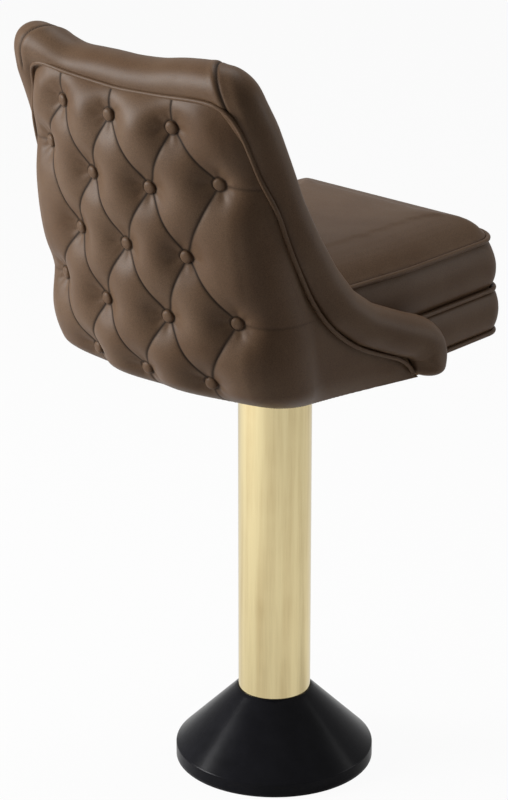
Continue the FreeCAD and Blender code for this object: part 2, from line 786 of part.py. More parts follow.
def tufted_path(z):
    """Outer face of the padding: an arc for each pillow between two creases."""
    plan = bucket_plan(z)
    crease, crest = crease_and_crest(z)
    side = side_pad(z)
    corner_crest = side
    if z <= BUTTON_ROWS[0]:
        corner_crest = max(min(crest, SIZES["button_depth"] + 8), side)
    turned_in = plan["back_length"] + plan["corner_length"]
    reaches = crease_reaches(z)
    corner_end = wall_point(plan, turned_in, side)
    edges = [line(side_point(plan, arm_front, side), corner_end)]
    first = wall_point(plan, reaches[0], crease)
    corner_middle = wall_point(plan, (reaches[0] + turned_in) / 2, corner_crest)
    edges.append(arc(corner_end, corner_middle, first))
    # narrow strips, such as the one under a button, are nearly flat
    flat_rise = 0.6
    for one, two in zip(reaches[:-1], reaches[1:]):
        height = crease + flat_rise
        if abs(one - two) > SIZES["button_diameter"]:
            fullness = min(abs(one - two) / SIZES["column_pitch"] * 1.2, 1.0)
            height = crease + max((crest - crease) * fullness, flat_rise)
        edges.append(arc(wall_point(plan, one, crease), wall_point(plan, (one + two) / 2, height),
                         wall_point(plan, two, crease)))
    edges.append(arc(mirrored(first), mirrored(corner_middle), mirrored(corner_end)))
    edges.append(line(mirrored(corner_end), mirrored(side_point(plan, arm_front, side))))
    return edges


def tufted_loop(z):
    plan = bucket_plan(z)
    return closed_loop(tufted_path(z), even_path(plan, arm_front, SIZES["soft_clearance"]))


# Buttons: covered domes set in the creases where the pillows meet.

def button_spots():
    """Place and outward direction of each button's seat."""
    three = (-1.0, 0.0, 1.0)
    four = (-1.5, -0.5, 0.5, 1.5)
    spots = []
    for row, row_height in enumerate(BUTTON_ROWS):
        for column in three if row % 2 == 0 else four:
            plan = bucket_plan(row_height + (OUTER_RISE[row] if abs(column) > 1 else 0.0))
            reach = column * SIZES["column_pitch"]
            direction = wall_direction(plan, reach)
            lean = point(0, 0, -SIZES["back_lean"])
            spots.append((wall_point(plan, reach, SIZES["button_depth"] - 1), (direction + lean).normalize()))
    return spots


def button_solid():
    radius = SIZES["button_diameter"] / 2
    height = SIZES["button_height"]
    wall = height * 0.4
    rise = height - wall
    ball = (radius ** 2 + rise ** 2) / (2 * rise)
    half_angle = math.asin(radius / ball) / 2
    middle = point(ball * math.sin(half_angle), 0, height - ball + ball * math.cos(half_angle))
    edges = [
        line(point(0, 0, 0), point(radius, 0, 0)),
        line(point(radius, 0, 0), point(radius, 0, wall)),
        arc(point(radius, 0, wall), middle, point(0, 0, height)),
        line(point(0, 0, height), point(0, 0, 0)),
    ]
    return Part.Face(Part.Wire(edges)).revolve(point(0, 0, 0), point(0, 0, 1), 360)


def set_on(shape, spot, direction):
    copy = shape.copy()
    copy.Placement = FreeCAD.Placement(spot, FreeCAD.Rotation(point(0, 0, 1), direction))
    return copy


# Welt between the roll and the tufted back: round sections along the groove between them.

def welt_centres(roll_radius, welt_radius, padding):
    """Points that touch both the roll and the padding, followed from the middle of the back."""
    spots = rim_points(WELT_STEPS)
    frames = carried_frames(spots)
    beside_roll = roll_radius + welt_radius + 2 * SIZES["soft_clearance"]
    lift = welt_radius + 3 * SIZES["soft_clearance"]
    middle = len(spots) // 2
    angle = math.radians(120.0)
    turn = math.radians(4.0)
    right = []
    for spot, (upward, sideways) in list(zip(spots, frames))[middle:]:
        if sideways.y < 0:
            sideways = sideways * -1
        # the roll is fuller behind its nose
        reach = beside_roll + SIZES["nose_fullness"] * max(0.0, 1.0 - spot.z / roll_radius)
        # from well clear of the padding, turn towards it until the welt's surface meets it
        angle -= 12 * turn
        tried = []
        while len(tried) < 40 and (not tried or tried[-1][1] > 0):
            centre = spot + (upward * math.cos(angle) + sideways * math.sin(angle)) * reach
            tried.append((angle, Part.Vertex(centre).distToShape(padding)[0] - lift))
            angle += turn
        angle, gap = tried[-1]
        if gap > 0:
            angle = min(tried, key=lambda pair: pair[1])[0]
        elif len(tried) > 1:
            angle = tried[-2][0] + turn * tried[-2][1] / (tried[-2][1] - gap)
        centre = spot + (upward * math.cos(angle) + sideways * math.sin(angle)) * reach
        # points too close together would kink the cord
        if not right or (centre - right[-1]).Length > 4 * welt_radius:
            right.append(centre)
    return [mirrored(centre) for centre in reversed(right[1:])] + right


def welt_solid(centres, radius):
    frames = carried_frames(centres)
    sections = [round_section(spot, frame, radius) for spot, frame in zip(centres, frames)]
    return Part.makeLoft(sections, True, True)


# Screws that hold the shell to the seat rails, countersunk in the shell.

def shell_screw_spots():
    z = SIZES["board_thickness"] + SIZES["rail_height"] / 2
    plan = bucket_plan(z)
    spots = []
    for reach in (-245.0, -150.0, -60.0, 60.0, 150.0, 245.0):
        place = wall_point(plan, reach, -SIZES["shell_screw_sink"])
        spots.append((place, wall_direction(plan, reach) * -1))
    return spots


def shell_screw_solid():
    radius = SIZES["shell_screw_diameter"] / 2
    head = SIZES["shell_screw_head"] / 2
    cone = Part.makeCone(head, radius, head - radius)
    shank = Part.makeCylinder(radius, SIZES["shell_screw_length"])
    return cone.fuse(shank).removeSplitter()


def shell_screw_recess():
    return Part.makeCylinder(SIZES["shell_screw_head"] / 2, 2 * SIZES["shell_screw_sink"])


# Seat plan

def seat_corners(grow=0.0, back_grow=None):
    back_grow = grow if back_grow is None else back_grow
    half = SIZES["seat_half_width"] + grow
    back_half = SIZES["seat_back_half_width"] + back_grow
    back = SIZES["seat_back"] + back_grow
    front = SIZES["seat_front"] + grow
    start = SIZES["seat_arm_start"]
    corner = max(SIZES["seat_corner"] + grow, 4.0)
    back_corner = max(SIZES["seat_back_corner"] + back_grow, 8.0)
    return [
        (half, -front, corner), (half, -start, SIZES["seat_arm_radius"]), (back_half, back, back_corner),
        (-back_half, back, back_corner), (-half, -start, SIZES["seat_arm_radius"]), (-half, -front, corner),
    ]


def seat_loop(z, grow=0.0):
    return rounded_loop(seat_corners(grow), z)


def block_loop(z, grow=0.0):
    """Plan of the wooden parts before the shell trims it: straight sides to behind the bucket."""
    half = SIZES["seat_half_width"] - SIZES["band_thickness"] + grow
    front = SIZES["seat_front"] - SIZES["band_thickness"] + grow
    corner = max(SIZES["seat_corner"] - SIZES["band_thickness"] + grow, 4.0)
    behind = SIZES["block_reach"] + grow
    return rounded_loop([(half, -front, corner), (half, behind, corner), (-half, behind, corner),
                         (-half, -front, corner)], z)


def bucket_inside(clearance):
    front = -SIZES["seat_front"] - 60
    loops = []
    for z in [height for height in section_heights if height < BUTTON_ROWS[-2]]:
        plan = bucket_plan(z)
        path = even_path(plan, front, -SIZES["shell_wall"] - clearance)
        start, end = ends_of(path)
        loops.append(Part.Wire(path + [line(end, start)]))
    low = bucket_plan(-6.0)
    path = even_path(low, front, -SIZES["shell_wall"] - clearance)
    start, end = ends_of(path)
    loops.insert(0, Part.Wire(path + [line(end, start)]))
    return Part.makeLoft(loops, True, False)


def band_path(z, offset, rear):
    """Open path round the front of the seat, from the right arm to the left one."""
    half = SIZES["seat_half_width"] + offset
    front = -SIZES["seat_front"] - offset
    corner = SIZES["seat_corner"] + offset
    quarter = corner * (1 - math.sqrt(0.5))
    right = [point(half, rear, z), point(half, front + corner, z),
             point(half - quarter, front + quarter, z), point(half - corner, front, z)]
    left = [mirrored(spot) for spot in right]
    return [
        line(right[0], right[1]), arc(right[1], right[2], right[3]), line(right[3], left[3]),
        arc(left[3], left[2], left[1]), line(left[1], left[0]),
    ]


def pipe(path, centre, direction, radius):
    """Welt cord: a round section carried along a path of lines and tangent arcs."""
    section = Part.Wire([Part.makeCircle(radius, centre, direction)])
    return Part.Wire(path).makePipeShell([section], True, True)


# Seat: plywood board, timber rails and deck inside an upholstered band, with a box cushion on top.

board_top = SIZES["board_thickness"]
rail_top = board_top + SIZES["rail_height"]
deck_top = rail_top + SIZES["deck_thickness"]
welt_radius = SIZES["seat_welt_diameter"] / 2
cushion_top = deck_top + SIZES["cushion_height"]
middle_welt_height = deck_top + 2.0
bottom_welt_height = 1.5
inner_pad_bottom = deck_top + 2.0


def make_board(inside, shell):
    board = raised(block_loop(0.0), SIZES["board_thickness"]).common(inside).cut(shell)
    reach = SIZES["plate_screw_pitch"] / 2
    barrel_height = SIZES["board_thickness"] - 4
    for x, y in ((reach, reach), (-reach, reach), (-reach, -reach), (reach, -reach)):
        clear = Part.makeCylinder(SIZES["screw_diameter"] / 2, SIZES["board_thickness"], point(x, y, 0))
        barrel = Part.makeCylinder(SIZES["nut_barrel"] / 2, barrel_height,
                                   point(x, y, SIZES["board_thickness"] - barrel_height))
        board = board.cut(clear).cut(barrel)
    return board


def make_rails(inside, shell, screws):
    blank = raised(block_loop(board_top), SIZES["rail_height"]).common(inside).cut(shell)
    width = SIZES["rail_width"]
    hollow_corners = seat_corners(-SIZES["band_thickness"] - width, -width - 8)
    hollow = raised(rounded_loop(hollow_corners, board_top), SIZES["rail_height"])
    return blank.cut(hollow).cut(Part.makeCompound(screws))


def make_deck(inside):
    plan = rounded_loop(seat_corners(-2 * welt_radius - SIZES["soft_clearance"]), rail_top)
    return raised(plan, SIZES["deck_thickness"]).common(inside)


def make_band():
    low = bottom_welt_height + welt_radius + SIZES["soft_clearance"]
    high = deck_top - welt_radius + 1.2
    inner = -SIZES["band_thickness"] + SIZES["soft_clearance"]
    loops = []
    for share in (0.0, 0.25, 0.5, 0.75, 1.0):
        z = low + (high - low) * share
        outer = SIZES["band_bulge"] * math.sin(math.pi * share)
        rear = SIZES["band_rear"]
        loops.append(closed_loop(band_path(z, outer, rear), band_path(z, inner, rear)))
    return Part.makeLoft(loops, True, False)


def make_cushion():
    bulge = SIZES["cushion_bulge"]
    top = cushion_top
    seam = -2 * welt_radius - SIZES["soft_clearance"] - 0.3
    low = deck_top + SIZES["soft_clearance"]
    steps = [
        (low, seam), (middle_welt_height + welt_radius + 0.9, seam + 0.6),
        (low + 12.0, bulge * 0.2), (low + 22.0, bulge * 0.8), (low + 34.0, bulge),
        (low + 46.0, bulge * 0.7), (top - 7.5, -2.5), (top - 4.0, seam), (top + 4.0, seam),
        (top + 7.0, -12.0),
    ]
    crown = SIZES["cushion_crown"]
    for inset, share in ((24.0, 0.62), (45.0, 0.8), (75.0, 0.93), (110.0, 1.0)):
        steps.append((top + crown * share, -inset))
    loops = [seat_loop(z, grow) for z, grow in steps]
    return Part.makeLoft(loops, True, True)


def make_seat_welts():
    top = seat_loop(cushion_top, -welt_radius)
    middle = seat_loop(middle_welt_height, -welt_radius)
    bottom = band_path(bottom_welt_height, 0.6, 5.0)
    along_y = point(0, 1, 0)
    welts = {}
    for label, wire in (("top_welt", top), ("middle_welt", middle)):
        start = wire.Edges[1].Vertexes[0].Point
        edges = wire.Edges[1:] + wire.Edges[:1]
        welts[label] = pipe(edges, start, along_y, welt_radius)
    welts["bottom_welt"] = pipe(bottom, ends_of(bottom)[0], along_y, welt_radius)
    return welts


def make_dust_cover(inside):
    thickness = SIZES["dust_cover_thickness"]
    sheet_solid = raised(block_loop(-thickness, -6.0), thickness).common(inside)
    half = SIZES["plate_side"] / 2 + 1.0
    window = Part.makeBox(2 * half, 2 * half, thickness, point(-half, -half, -thickness))
    return sheet_solid.cut(window)


def make_seat(shell, screws):
    inside = bucket_inside(SIZES["soft_clearance"])
    shaped("seat_board", make_board(inside, shell))
    shaped("seat_rails", make_rails(inside, shell, screws))
    shaped("seat_deck", make_deck(inside))
    shaped("seat_band", make_band())
    shaped("seat_cushion", make_cushion())
    for label, welt in make_seat_welts().items():
        shaped(label, welt)
    shaped("dust_cover", make_dust_cover(inside))


def make_bucket(shell, block, screws, recesses):
    roll_radius = SIZES["roll_radius"]
    back_welt_radius = SIZES["back_welt_diameter"] / 2
    shaped("bucket_shell", shell.cut(Part.makeCompound(screws + recesses)))
    inner = Part.makeLoft([inner_pad_loop(z) for z in pad_heights()], True, False)
    shaped("inner_back_pad", inner.common(block))
    outer = Part.makeLoft([tufted_loop(z) for z in section_heights], True, False).common(block)
    well = Part.makeCylinder(SIZES["button_diameter"] / 2 + SIZES["button_gap"], 2 * SIZES["button_depth"])
    spots = button_spots()
    shaped("tufted_back_pad", outer.cut([set_on(well, spot, direction) for spot, direction in spots]))
    shaped("edge_roll", roll_solid(roll_radius).cut(side_block(SIZES["roll_setback"])))
    centres = welt_centres(roll_radius, back_welt_radius, outer)
    shaped("back_welt", welt_solid(centres, back_welt_radius))
    button = button_solid()
    shaped("tufting_buttons", Part.makeCompound([set_on(button, spot, way) for spot, way in spots]))
    shaped("shell_screws", Part.makeCompound(screws))


def pad_heights():
    return [inner_pad_bottom] + [z for z in section_heights if z > inner_pad_bottom + 20]


make_floor_flange()
make_base_cover()
make_column()
make_housing()
make_bearing()
make_spindle()
make_plate()
make_plate_screws()
shell_screws = [set_on(shell_screw_solid(), spot, way) for spot, way in shell_screw_spots()]
screw_recesses = [set_on(shell_screw_recess(), spot, way * -1) for spot, way in shell_screw_spots()]
back_block = side_block(SIZES["roll_setback"] + SIZES["soft_clearance"])
plain_shell = make_bucket_shell(back_block)
make_seat(plain_shell, shell_screws)
make_bucket(plain_shell, back_block, shell_screws, screw_recesses)
doc.recompute()

# Every object must have recomputed, and every piece must be a sound closed shape.
for item in doc.Objects:
    if "Invalid" in item.State or "Error" in item.State:
        raise RuntimeError("%s did not recompute: %s" % (item.Name, item.State))
os.makedirs("parts", exist_ok=True)
for item in pieces:
    shape = item.Shape
    if shape.isNull() or not shape.isValid() or not shape.Solids:
        raise RuntimeError("%s has no sound solid" % item.Label)
for item in pieces:
    item.Shape.exportStep("parts/%s.step" % item.Label)
print("%d pieces written" % len(pieces))
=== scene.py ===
import math
import bmesh
import bpy
import numpy as np
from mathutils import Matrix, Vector


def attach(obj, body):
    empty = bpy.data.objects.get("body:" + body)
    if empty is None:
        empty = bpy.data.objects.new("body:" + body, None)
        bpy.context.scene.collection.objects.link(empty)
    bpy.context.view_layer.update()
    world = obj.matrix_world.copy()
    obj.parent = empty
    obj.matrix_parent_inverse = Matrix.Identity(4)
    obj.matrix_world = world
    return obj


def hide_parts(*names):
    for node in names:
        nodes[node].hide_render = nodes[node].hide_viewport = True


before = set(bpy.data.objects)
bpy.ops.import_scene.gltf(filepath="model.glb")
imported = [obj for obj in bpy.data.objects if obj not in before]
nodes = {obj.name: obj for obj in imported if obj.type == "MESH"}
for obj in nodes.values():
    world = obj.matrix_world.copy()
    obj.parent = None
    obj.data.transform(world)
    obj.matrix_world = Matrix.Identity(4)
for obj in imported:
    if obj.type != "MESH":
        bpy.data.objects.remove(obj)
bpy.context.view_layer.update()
print("stool: frame loaded with", len(nodes), "nodes")

# Everything is in metres. Heights called "up" are over the underside of the seat board.
boardUnderside = 0.612


# Mesh helpers

def gridQuads(rows, columns, wrapRows=False, wrapColumns=False):
    # corner numbers of each cell of a grid; a wrap joins its last row or column to the first
    row = np.arange(rows if wrapRows else rows - 1)[:, None]
    column = np.arange(columns if wrapColumns else columns - 1)[None, :]
    nextRow = (row + 1) % rows
    nextColumn = (column + 1) % columns
    cells = [row * columns + column, row * columns + nextColumn,
             nextRow * columns + nextColumn, nextRow * columns + column]
    shape = np.broadcast(row, column).shape
    return np.stack([np.broadcast_to(cell, shape) for cell in cells], -1).reshape(-1, 4)


def fanTriangles(ring, hub):
    # triangles from a ring of point numbers to one hub point
    return np.stack([ring, np.roll(ring, -1), np.full(len(ring), hub)], -1)


def bridgeQuads(ring, other):
    # cells between two rings of point numbers
    return np.stack([ring, np.roll(ring, -1), np.roll(other, -1), other], -1)


def makePiece(name, node, points, faces, material, body, foldShade=None):
    # points as an (n, 3) array, faces as a list of arrays of point numbers; it replaces one CAD node
    mesh = bpy.data.meshes.new(name)
    mesh.from_pydata(points.tolist(), [], [face for group in faces for face in group.tolist()])
    # the fold values are painted shade strengths, kept on each point as an attribute for the leather
    if foldShade is not None:
        layer = mesh.attributes.new("foldShade", "FLOAT", "POINT")
        layer.data.foreach_set("value", np.ascontiguousarray(foldShade, dtype=np.float32))
    shape = bmesh.new()
    shape.from_mesh(mesh)
    bmesh.ops.remove_doubles(shape, verts=shape.verts, dist=1e-6)
    bmesh.ops.recalc_face_normals(shape, faces=shape.faces)
    shape.to_mesh(mesh)
    shape.free()
    mesh.shade_smooth()
    mesh.materials.append(material)
    piece = bpy.data.objects.new(name, mesh)
    bpy.context.scene.collection.objects.link(piece)
    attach(piece, body)
    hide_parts(node)
    return piece


def makeLeatherPiece(name, node, points, faces, foldShade=None):
    # all the upholstery rides on the seat
    return makePiece(name, node, points, faces, leather, "seat", foldShade)


def runLength(line):
    # length of the line up to each of its points
    return np.concatenate([[0.0], np.cumsum(np.linalg.norm(np.diff(line, axis=0), axis=1))])


def evenLine(points, count, closed=False):
    # points spaced evenly along a line: length run so far against each coordinate
    line = np.vstack([points, points[:1]]) if closed else np.asarray(points)
    run = runLength(line)
    wanted = np.linspace(0.0, run[-1], count + 1)[:-1] if closed else np.linspace(0.0, run[-1], count)
    return np.stack([np.interp(wanted, run, line[:, k]) for k in range(line.shape[1])], 1)


def roundedLine(points, count, easing):
    # an even line whose corners are eased by a moving average over a stretch of it
    line = evenLine(points, count)
    window = np.hanning(easing + 2)[1:-1]
    window /= window.sum()
    padded = np.vstack([np.repeat(line[:1], easing, 0) * 2 - line[easing:0:-1], line,
                        np.repeat(line[-1:], easing, 0) * 2 - line[-2:-easing - 2:-1]])
    eased = np.stack([np.convolve(padded[:, k], window, "same") for k in range(line.shape[1])], 1)
    return evenLine(eased[easing:-easing], count)


def unit(vectors):
    # each vector over its own length
    return vectors / np.linalg.norm(vectors, axis=-1, keepdims=True)


def crossFrames(path, outward, closed=False):
    # two directions across the path at each point: outward made square to the path, and the cross product
    if closed:
        along = np.roll(path, -1, 0) - np.roll(path, 1, 0)
    else:
        along = np.gradient(path, axis=0)
    along = unit(along)
    normal = unit(outward - (outward * along).sum(1, keepdims=True) * along)
    return normal, np.cross(along, normal)


def tubePoints(path, outward, radius, sides, closed=False):
    # ring at each path point: path + radius * (cos t * normal + sin t * cross)
    normal, across = crossFrames(path, outward, closed)
    turn = np.linspace(0.0, 2 * np.pi, sides, endpoint=False)
    radius = np.broadcast_to(radius, (len(path), sides))
    cosine, sine = np.cos(turn)[None, :, None], np.sin(turn)[None, :, None]
    return path[:, None, :] + radius[:, :, None] * (cosine * normal[:, None, :] + sine * across[:, None, :])


def tubePiece(name, node, path, rings, closed=False, foldShade=None):
    # an open end is closed by a fan of triangles to the end of the path
    count, sides = rings.shape[:2]
    points = rings.reshape(-1, 3)
    faces = [gridQuads(count, sides, wrapRows=closed, wrapColumns=True)]
    if not closed:
        points = np.vstack([points, path[:1], path[-1:]])
        faces.append(fanTriangles(np.arange(sides), count * sides))
        faces.append(fanTriangles(np.arange(sides) + (count - 1) * sides, count * sides + 1))
    return makeLeatherPiece(name, node, points, faces, foldShade)


def cord(name, node, path, outward, radius, closed=False, sides=16):
    # piping: a round tube along the path
    tubePiece(name, node, path, tubePoints(path, outward, radius, sides, closed), closed)


def spun(name, node, profile, steps, material):
    # closed (radius, height) outline turned about the column's axis
    turn = np.linspace(0.0, 2 * np.pi, steps, endpoint=False)
    radius = profile[:, 0][None, :]
    points = np.stack([radius * np.cos(turn)[:, None], radius * np.sin(turn)[:, None],
                       np.broadcast_to(profile[:, 1][None, :], (steps, len(profile)))], -1).reshape(-1, 3)
    faces = [gridQuads(steps, len(profile), wrapRows=True, wrapColumns=True)]
    makePiece(name, node, points, faces, material, "pedestal")


def closingRings(ring, middle, count):
    # rings from an outline towards its middle: ring + share * (middle - ring)
    shares = np.linspace(0.0, 1.0, count + 1)[:-1]
    return ring[None] + shares[:, None, None] * (middle - ring)[None]


def quarterWave(distance, width):
    # 0 at 0, then the sine up to 1 from the width on
    return np.sin(np.pi / 2 * np.clip(distance / width, 0.0, 1.0))


def easeStep(value):
    # 0 below 0, 1 above 1, and 3 t^2 - 2 t^3 between
    value = np.clip(value, 0.0, 1.0)
    return value * value * (3 - 2 * value)


def bell(distance, width):
    # 1 in the middle, falling off as exp(-(distance / width)^2)
    return np.exp(-(distance / width) ** 2)


def softWaves(points, length, height, seed):
    # slow unevenness of hand-pulled leather: a few sine waves in turned directions
    total = np.zeros(points.shape[:-1])
    for index in range(4):
        heading = np.array([math.sin(seed + 2.1 * index), math.cos(1.7 * seed + index),
                            math.sin(0.6 * seed - 1.3 * index)])
        total += np.sin(points @ heading * (2 * np.pi / (length * (1 + 0.37 * index))) + seed * index)
    return total * height / 4


# Shader node groups

def newGroup(name, inputs, outputs):
    # node group with those sockets: its tree, what it is given and what it has to make
    tree = bpy.data.node_groups.new(name, "ShaderNodeTree")
    for label, kind, value in inputs:
        socket = tree.interface.new_socket(name=label, in_out="INPUT", socket_type="NodeSocket" + kind)
        socket.default_value = value
    for label, kind in outputs:
        tree.interface.new_socket(name=label, in_out="OUTPUT", socket_type="NodeSocket" + kind)
    return tree, tree.nodes.new("NodeGroupInput").outputs, tree.nodes.new("NodeGroupOutput").inputs


def addNode(tree, kind, settings=None, **values):
    # a node with its settings and with unlinked socket values; an underscore stands for a space
    node = tree.nodes.new("ShaderNode" + kind)
    for key, value in (settings or {}).items():
        setattr(node, key, value)
    for key, value in values.items():
        node.inputs[key.replace("_", " ")].default_value = value
    return node


def textureNode(tree, kind, place, **values):
    # a texture, or a change of scale, read at that place
    node = addNode(tree, kind, **values)
    tree.links.new(place, node.inputs["Vector"])
    return node


def mathNode(tree, operation, first, second):
    # one sum or product of two sockets or numbers
    node = tree.nodes.new("ShaderNodeMath")
    node.operation = operation
    for socket, value in zip(node.inputs, (first, second)):
        if isinstance(value, (int, float)):
            socket.default_value = value
        else:
            tree.links.new(value, socket)
    return node.outputs[0]


def rangeNode(tree, value, low, high, newLow, newHigh):
    # value carried in a straight line from one range to another
    node = tree.nodes.new("ShaderNodeMapRange")
    node.inputs["From Min"].default_value = low
    node.inputs["From Max"].default_value = high
    node.inputs["To Min"].default_value = newLow
    node.inputs["To Max"].default_value = newHigh
    tree.links.new(value, node.inputs["Value"])
    return node.outputs["Result"]


def mixColours(tree, factor, first, second, blend="MIX"):
    # MIX is first + factor * (second - first), MULTIPLY the product of the two
    node = tree.nodes.new("ShaderNodeMix")
    node.data_type = "RGBA"
    node.blend_type = blend
    sockets = [node.inputs[0], node.inputs[6], node.inputs[7]]  # factor and the two colours
    for socket, value in zip(sockets, (factor, first, second)):
        if hasattr(value, "links"):
            tree.links.new(value, socket)
        else:
            socket.default_value = value
    return node.outputs[2]


def leatherGroup():
    # pebbled grain, slow changes of tone to the worn hide colour, painted shade in creases, seams and under
    # buttons from the fold attribute, which also roughens them
    tree, given, made = newGroup(
        "hideGrainFoldShade",
        [("Hide", "Color", (0.1, 0.06, 0.04, 1)), ("Worn Hide", "Color", (0.14, 0.09, 0.06, 1)),
         ("Grain Scale", "Float", 900.0), ("Fold Shade", "Float", 0.0), ("Roughness", "Float", 0.42)],
        [("Color", "Color"), ("Roughness", "Float"), ("Height", "Float")])
    place = addNode(tree, "TexCoord").outputs["Object"]
    grain = textureNode(tree, "TexVoronoi", place)
    cloud = textureNode(tree, "TexNoise", place, Scale=11.0, Detail=3.0, Roughness=0.55)
    speck = textureNode(tree, "TexNoise", place, Scale=420.0, Detail=2.0, Roughness=0.6)
    tree.links.new(given["Grain Scale"], grain.inputs["Scale"])
    patch = rangeNode(tree, cloud.outputs["Fac"], 0.35, 0.68, 0.0, 1.0)
    colour = mixColours(tree, patch, given["Hide"], given["Worn Hide"])
    pit = rangeNode(tree, grain.outputs["Distance"], 0.25, 0.75, 1.0, 0.8)
    fleck = rangeNode(tree, speck.outputs["Fac"], 0.3, 0.7, 0.92, 1.07)
    shade = mathNode(tree, "MULTIPLY", pit, fleck)
    # painted shade: the fold value darkens the colour to 0.12 of itself in creases, seams and under buttons
    paintedShade = rangeNode(tree, given["Fold Shade"], 0.0, 1.0, 1.0, 0.12)
    shade = mathNode(tree, "MULTIPLY", shade, paintedShade)
    grey = addNode(tree, "CombineColor")
    for key in ("Red", "Green", "Blue"):
        tree.links.new(shade, grey.inputs[key])
    tree.links.new(mixColours(tree, 1.0, colour, grey.outputs[0], "MULTIPLY"), made["Color"])
    rough = rangeNode(tree, speck.outputs["Fac"], 0.3, 0.7, -0.04, 0.05)
    rough = mathNode(tree, "ADD", given["Roughness"], rough)
    rough = mathNode(tree, "ADD", rough, mathNode(tree, "MULTIPLY", given["Fold Shade"], 0.3))
    tree.links.new(rough, made["Roughness"])
    height = mathNode(tree, "MULTIPLY", rangeNode(tree, grain.outputs["Distance"], 0.0, 0.9, 1.0, 0.0), 0.7)
    height = mathNode(tree, "ADD", height, mathNode(tree, "MULTIPLY", speck.outputs["Fac"], 0.3))
    tree.links.new(height, made["Height"])
    return tree


def streakGroup():
    # polish lines and faint stains that run along the column
    tree, given, made = newGroup(
        "polishStreaks",
        [("Metal", "Color", (0.8, 0.68, 0.38, 1)), ("Stain", "Color", (0.6, 0.45, 0.2, 1)),
         ("Roughness", "Float", 0.08)],
        [("Color", "Color"), ("Roughness", "Float")])
    place = addNode(tree, "TexCoord").outputs["Object"]
    stretched = textureNode(tree, "Mapping", place, Scale=(60.0, 60.0, 2.5)).outputs["Vector"]
    streak = textureNode(tree, "TexNoise", stretched, Scale=1.0, Detail=4.0, Roughness=0.6)
    cloud = textureNode(tree, "TexNoise", place, Scale=14.0, Detail=2.0)
    both = mathNode(tree, "MULTIPLY", rangeNode(tree, streak.outputs["Fac"], 0.42, 0.70, 0.0, 0.75),
                    rangeNode(tree, cloud.outputs["Fac"], 0.30, 0.70, 0.45, 1.0))
    colour = mixColours(tree, both, given["Metal"], given["Stain"])
    tree.links.new(colour, made["Color"])
    rough = mathNode(tree, "ADD", given["Roughness"], mathNode(tree, "MULTIPLY", both, 0.12))
    tree.links.new(rough, made["Roughness"])
    return tree


def mottleGroup():
    # handling marks for painted, plated and ground steel: cloudy tone, fine scratches, a little bump
    tree, given, made = newGroup(
        "handledMetal",
        [("Base", "Color", (0.5, 0.5, 0.5, 1)), ("Rubbed", "Color", (0.6, 0.6, 0.6, 1)),
         ("Scale", "Float", 60.0), ("Roughness", "Float", 0.35), ("Spread", "Float", 0.1)],
        [("Color", "Color"), ("Roughness", "Float"), ("Height", "Float")])
    place = addNode(tree, "TexCoord").outputs["Object"]
    cloud = textureNode(tree, "TexNoise", place, Detail=5.0, Roughness=0.6)
    tree.links.new(given["Scale"], cloud.inputs["Scale"])
    fine = textureNode(tree, "TexNoise", place, Scale=900.0, Detail=2.0)
    tone = rangeNode(tree, cloud.outputs["Fac"], 0.35, 0.7, 0.0, 1.0)
    colour = mixColours(tree, tone, given["Base"], given["Rubbed"])
    tree.links.new(colour, made["Color"])
    uneven = mathNode(tree, "SUBTRACT", cloud.outputs["Fac"], 0.5)
    uneven = mathNode(tree, "MULTIPLY", uneven, given["Spread"])
    tree.links.new(mathNode(tree, "ADD", given["Roughness"], uneven), made["Roughness"])
    tree.links.new(fine.outputs["Fac"], made["Height"])
    return tree


def woodGroup():
    # long rings stretched along the board, with darker late wood
    tree, given, made = newGroup(
        "boardGrain",
        [("Early Wood", "Color", (0.6, 0.42, 0.25, 1)), ("Late Wood", "Color", (0.38, 0.24, 0.13, 1)),
         ("Ring Scale", "Float", 40.0)],
        [("Color", "Color"), ("Height", "Float")])
    place = addNode(tree, "TexCoord").outputs["Object"]
    place = textureNode(tree, "Mapping", place, Scale=(1.0, 0.12, 1.6)).outputs["Vector"]
    ring = textureNode(tree, "TexNoise", place, Detail=6.0, Roughness=0.65, Distortion=0.6)
    tree.links.new(given["Ring Scale"], ring.inputs["Scale"])
    tone = rangeNode(tree, ring.outputs["Fac"], 0.4, 0.65, 0.0, 1.0)
    colour = mixColours(tree, tone, given["Early Wood"], given["Late Wood"])
    tree.links.new(colour, made["Color"])
    tree.links.new(ring.outputs["Fac"], made["Height"])
    return tree


groups = {"leather": leatherGroup(), "streak": streakGroup(), "mottle": mottleGroup(), "wood": woodGroup()}


def newMaterial(name, group, groupValues, bump=0.0, bumpSpan=0.0005, foldShadeInput=False, **shaderValues):
    # Principled shader fed by one effect group, with the group's height as bump
    material = bpy.data.materials.new(name)
    material.use_nodes = True
    tree = material.node_tree
    shader = tree.nodes["Principled BSDF"]
    effect = tree.nodes.new("ShaderNodeGroup")
    effect.node_tree = groups[group]
    for key, value in groupValues.items():
        effect.inputs[key].default_value = value
    # painted shade: the fold attribute darkens the colour in creases, seams and under buttons
    if foldShadeInput:
        foldShade = addNode(tree, "Attribute", {"attribute_name": "foldShade"})
        tree.links.new(foldShade.outputs["Fac"], effect.inputs["Fold Shade"])
    tree.links.new(effect.outputs["Color"], shader.inputs["Base Color"])
    if "Roughness" in effect.outputs:
        tree.links.new(effect.outputs["Roughness"], shader.inputs["Roughness"])
    if bump:
        lift = addNode(tree, "Bump", Strength=bump, Distance=bumpSpan)
        tree.links.new(effect.outputs["Height"], lift.inputs["Height"])
        tree.links.new(lift.outputs["Normal"], shader.inputs["Normal"])
    for key, value in shaderValues.items():
        shader.inputs[key.replace("_", " ")].default_value = value
    return material


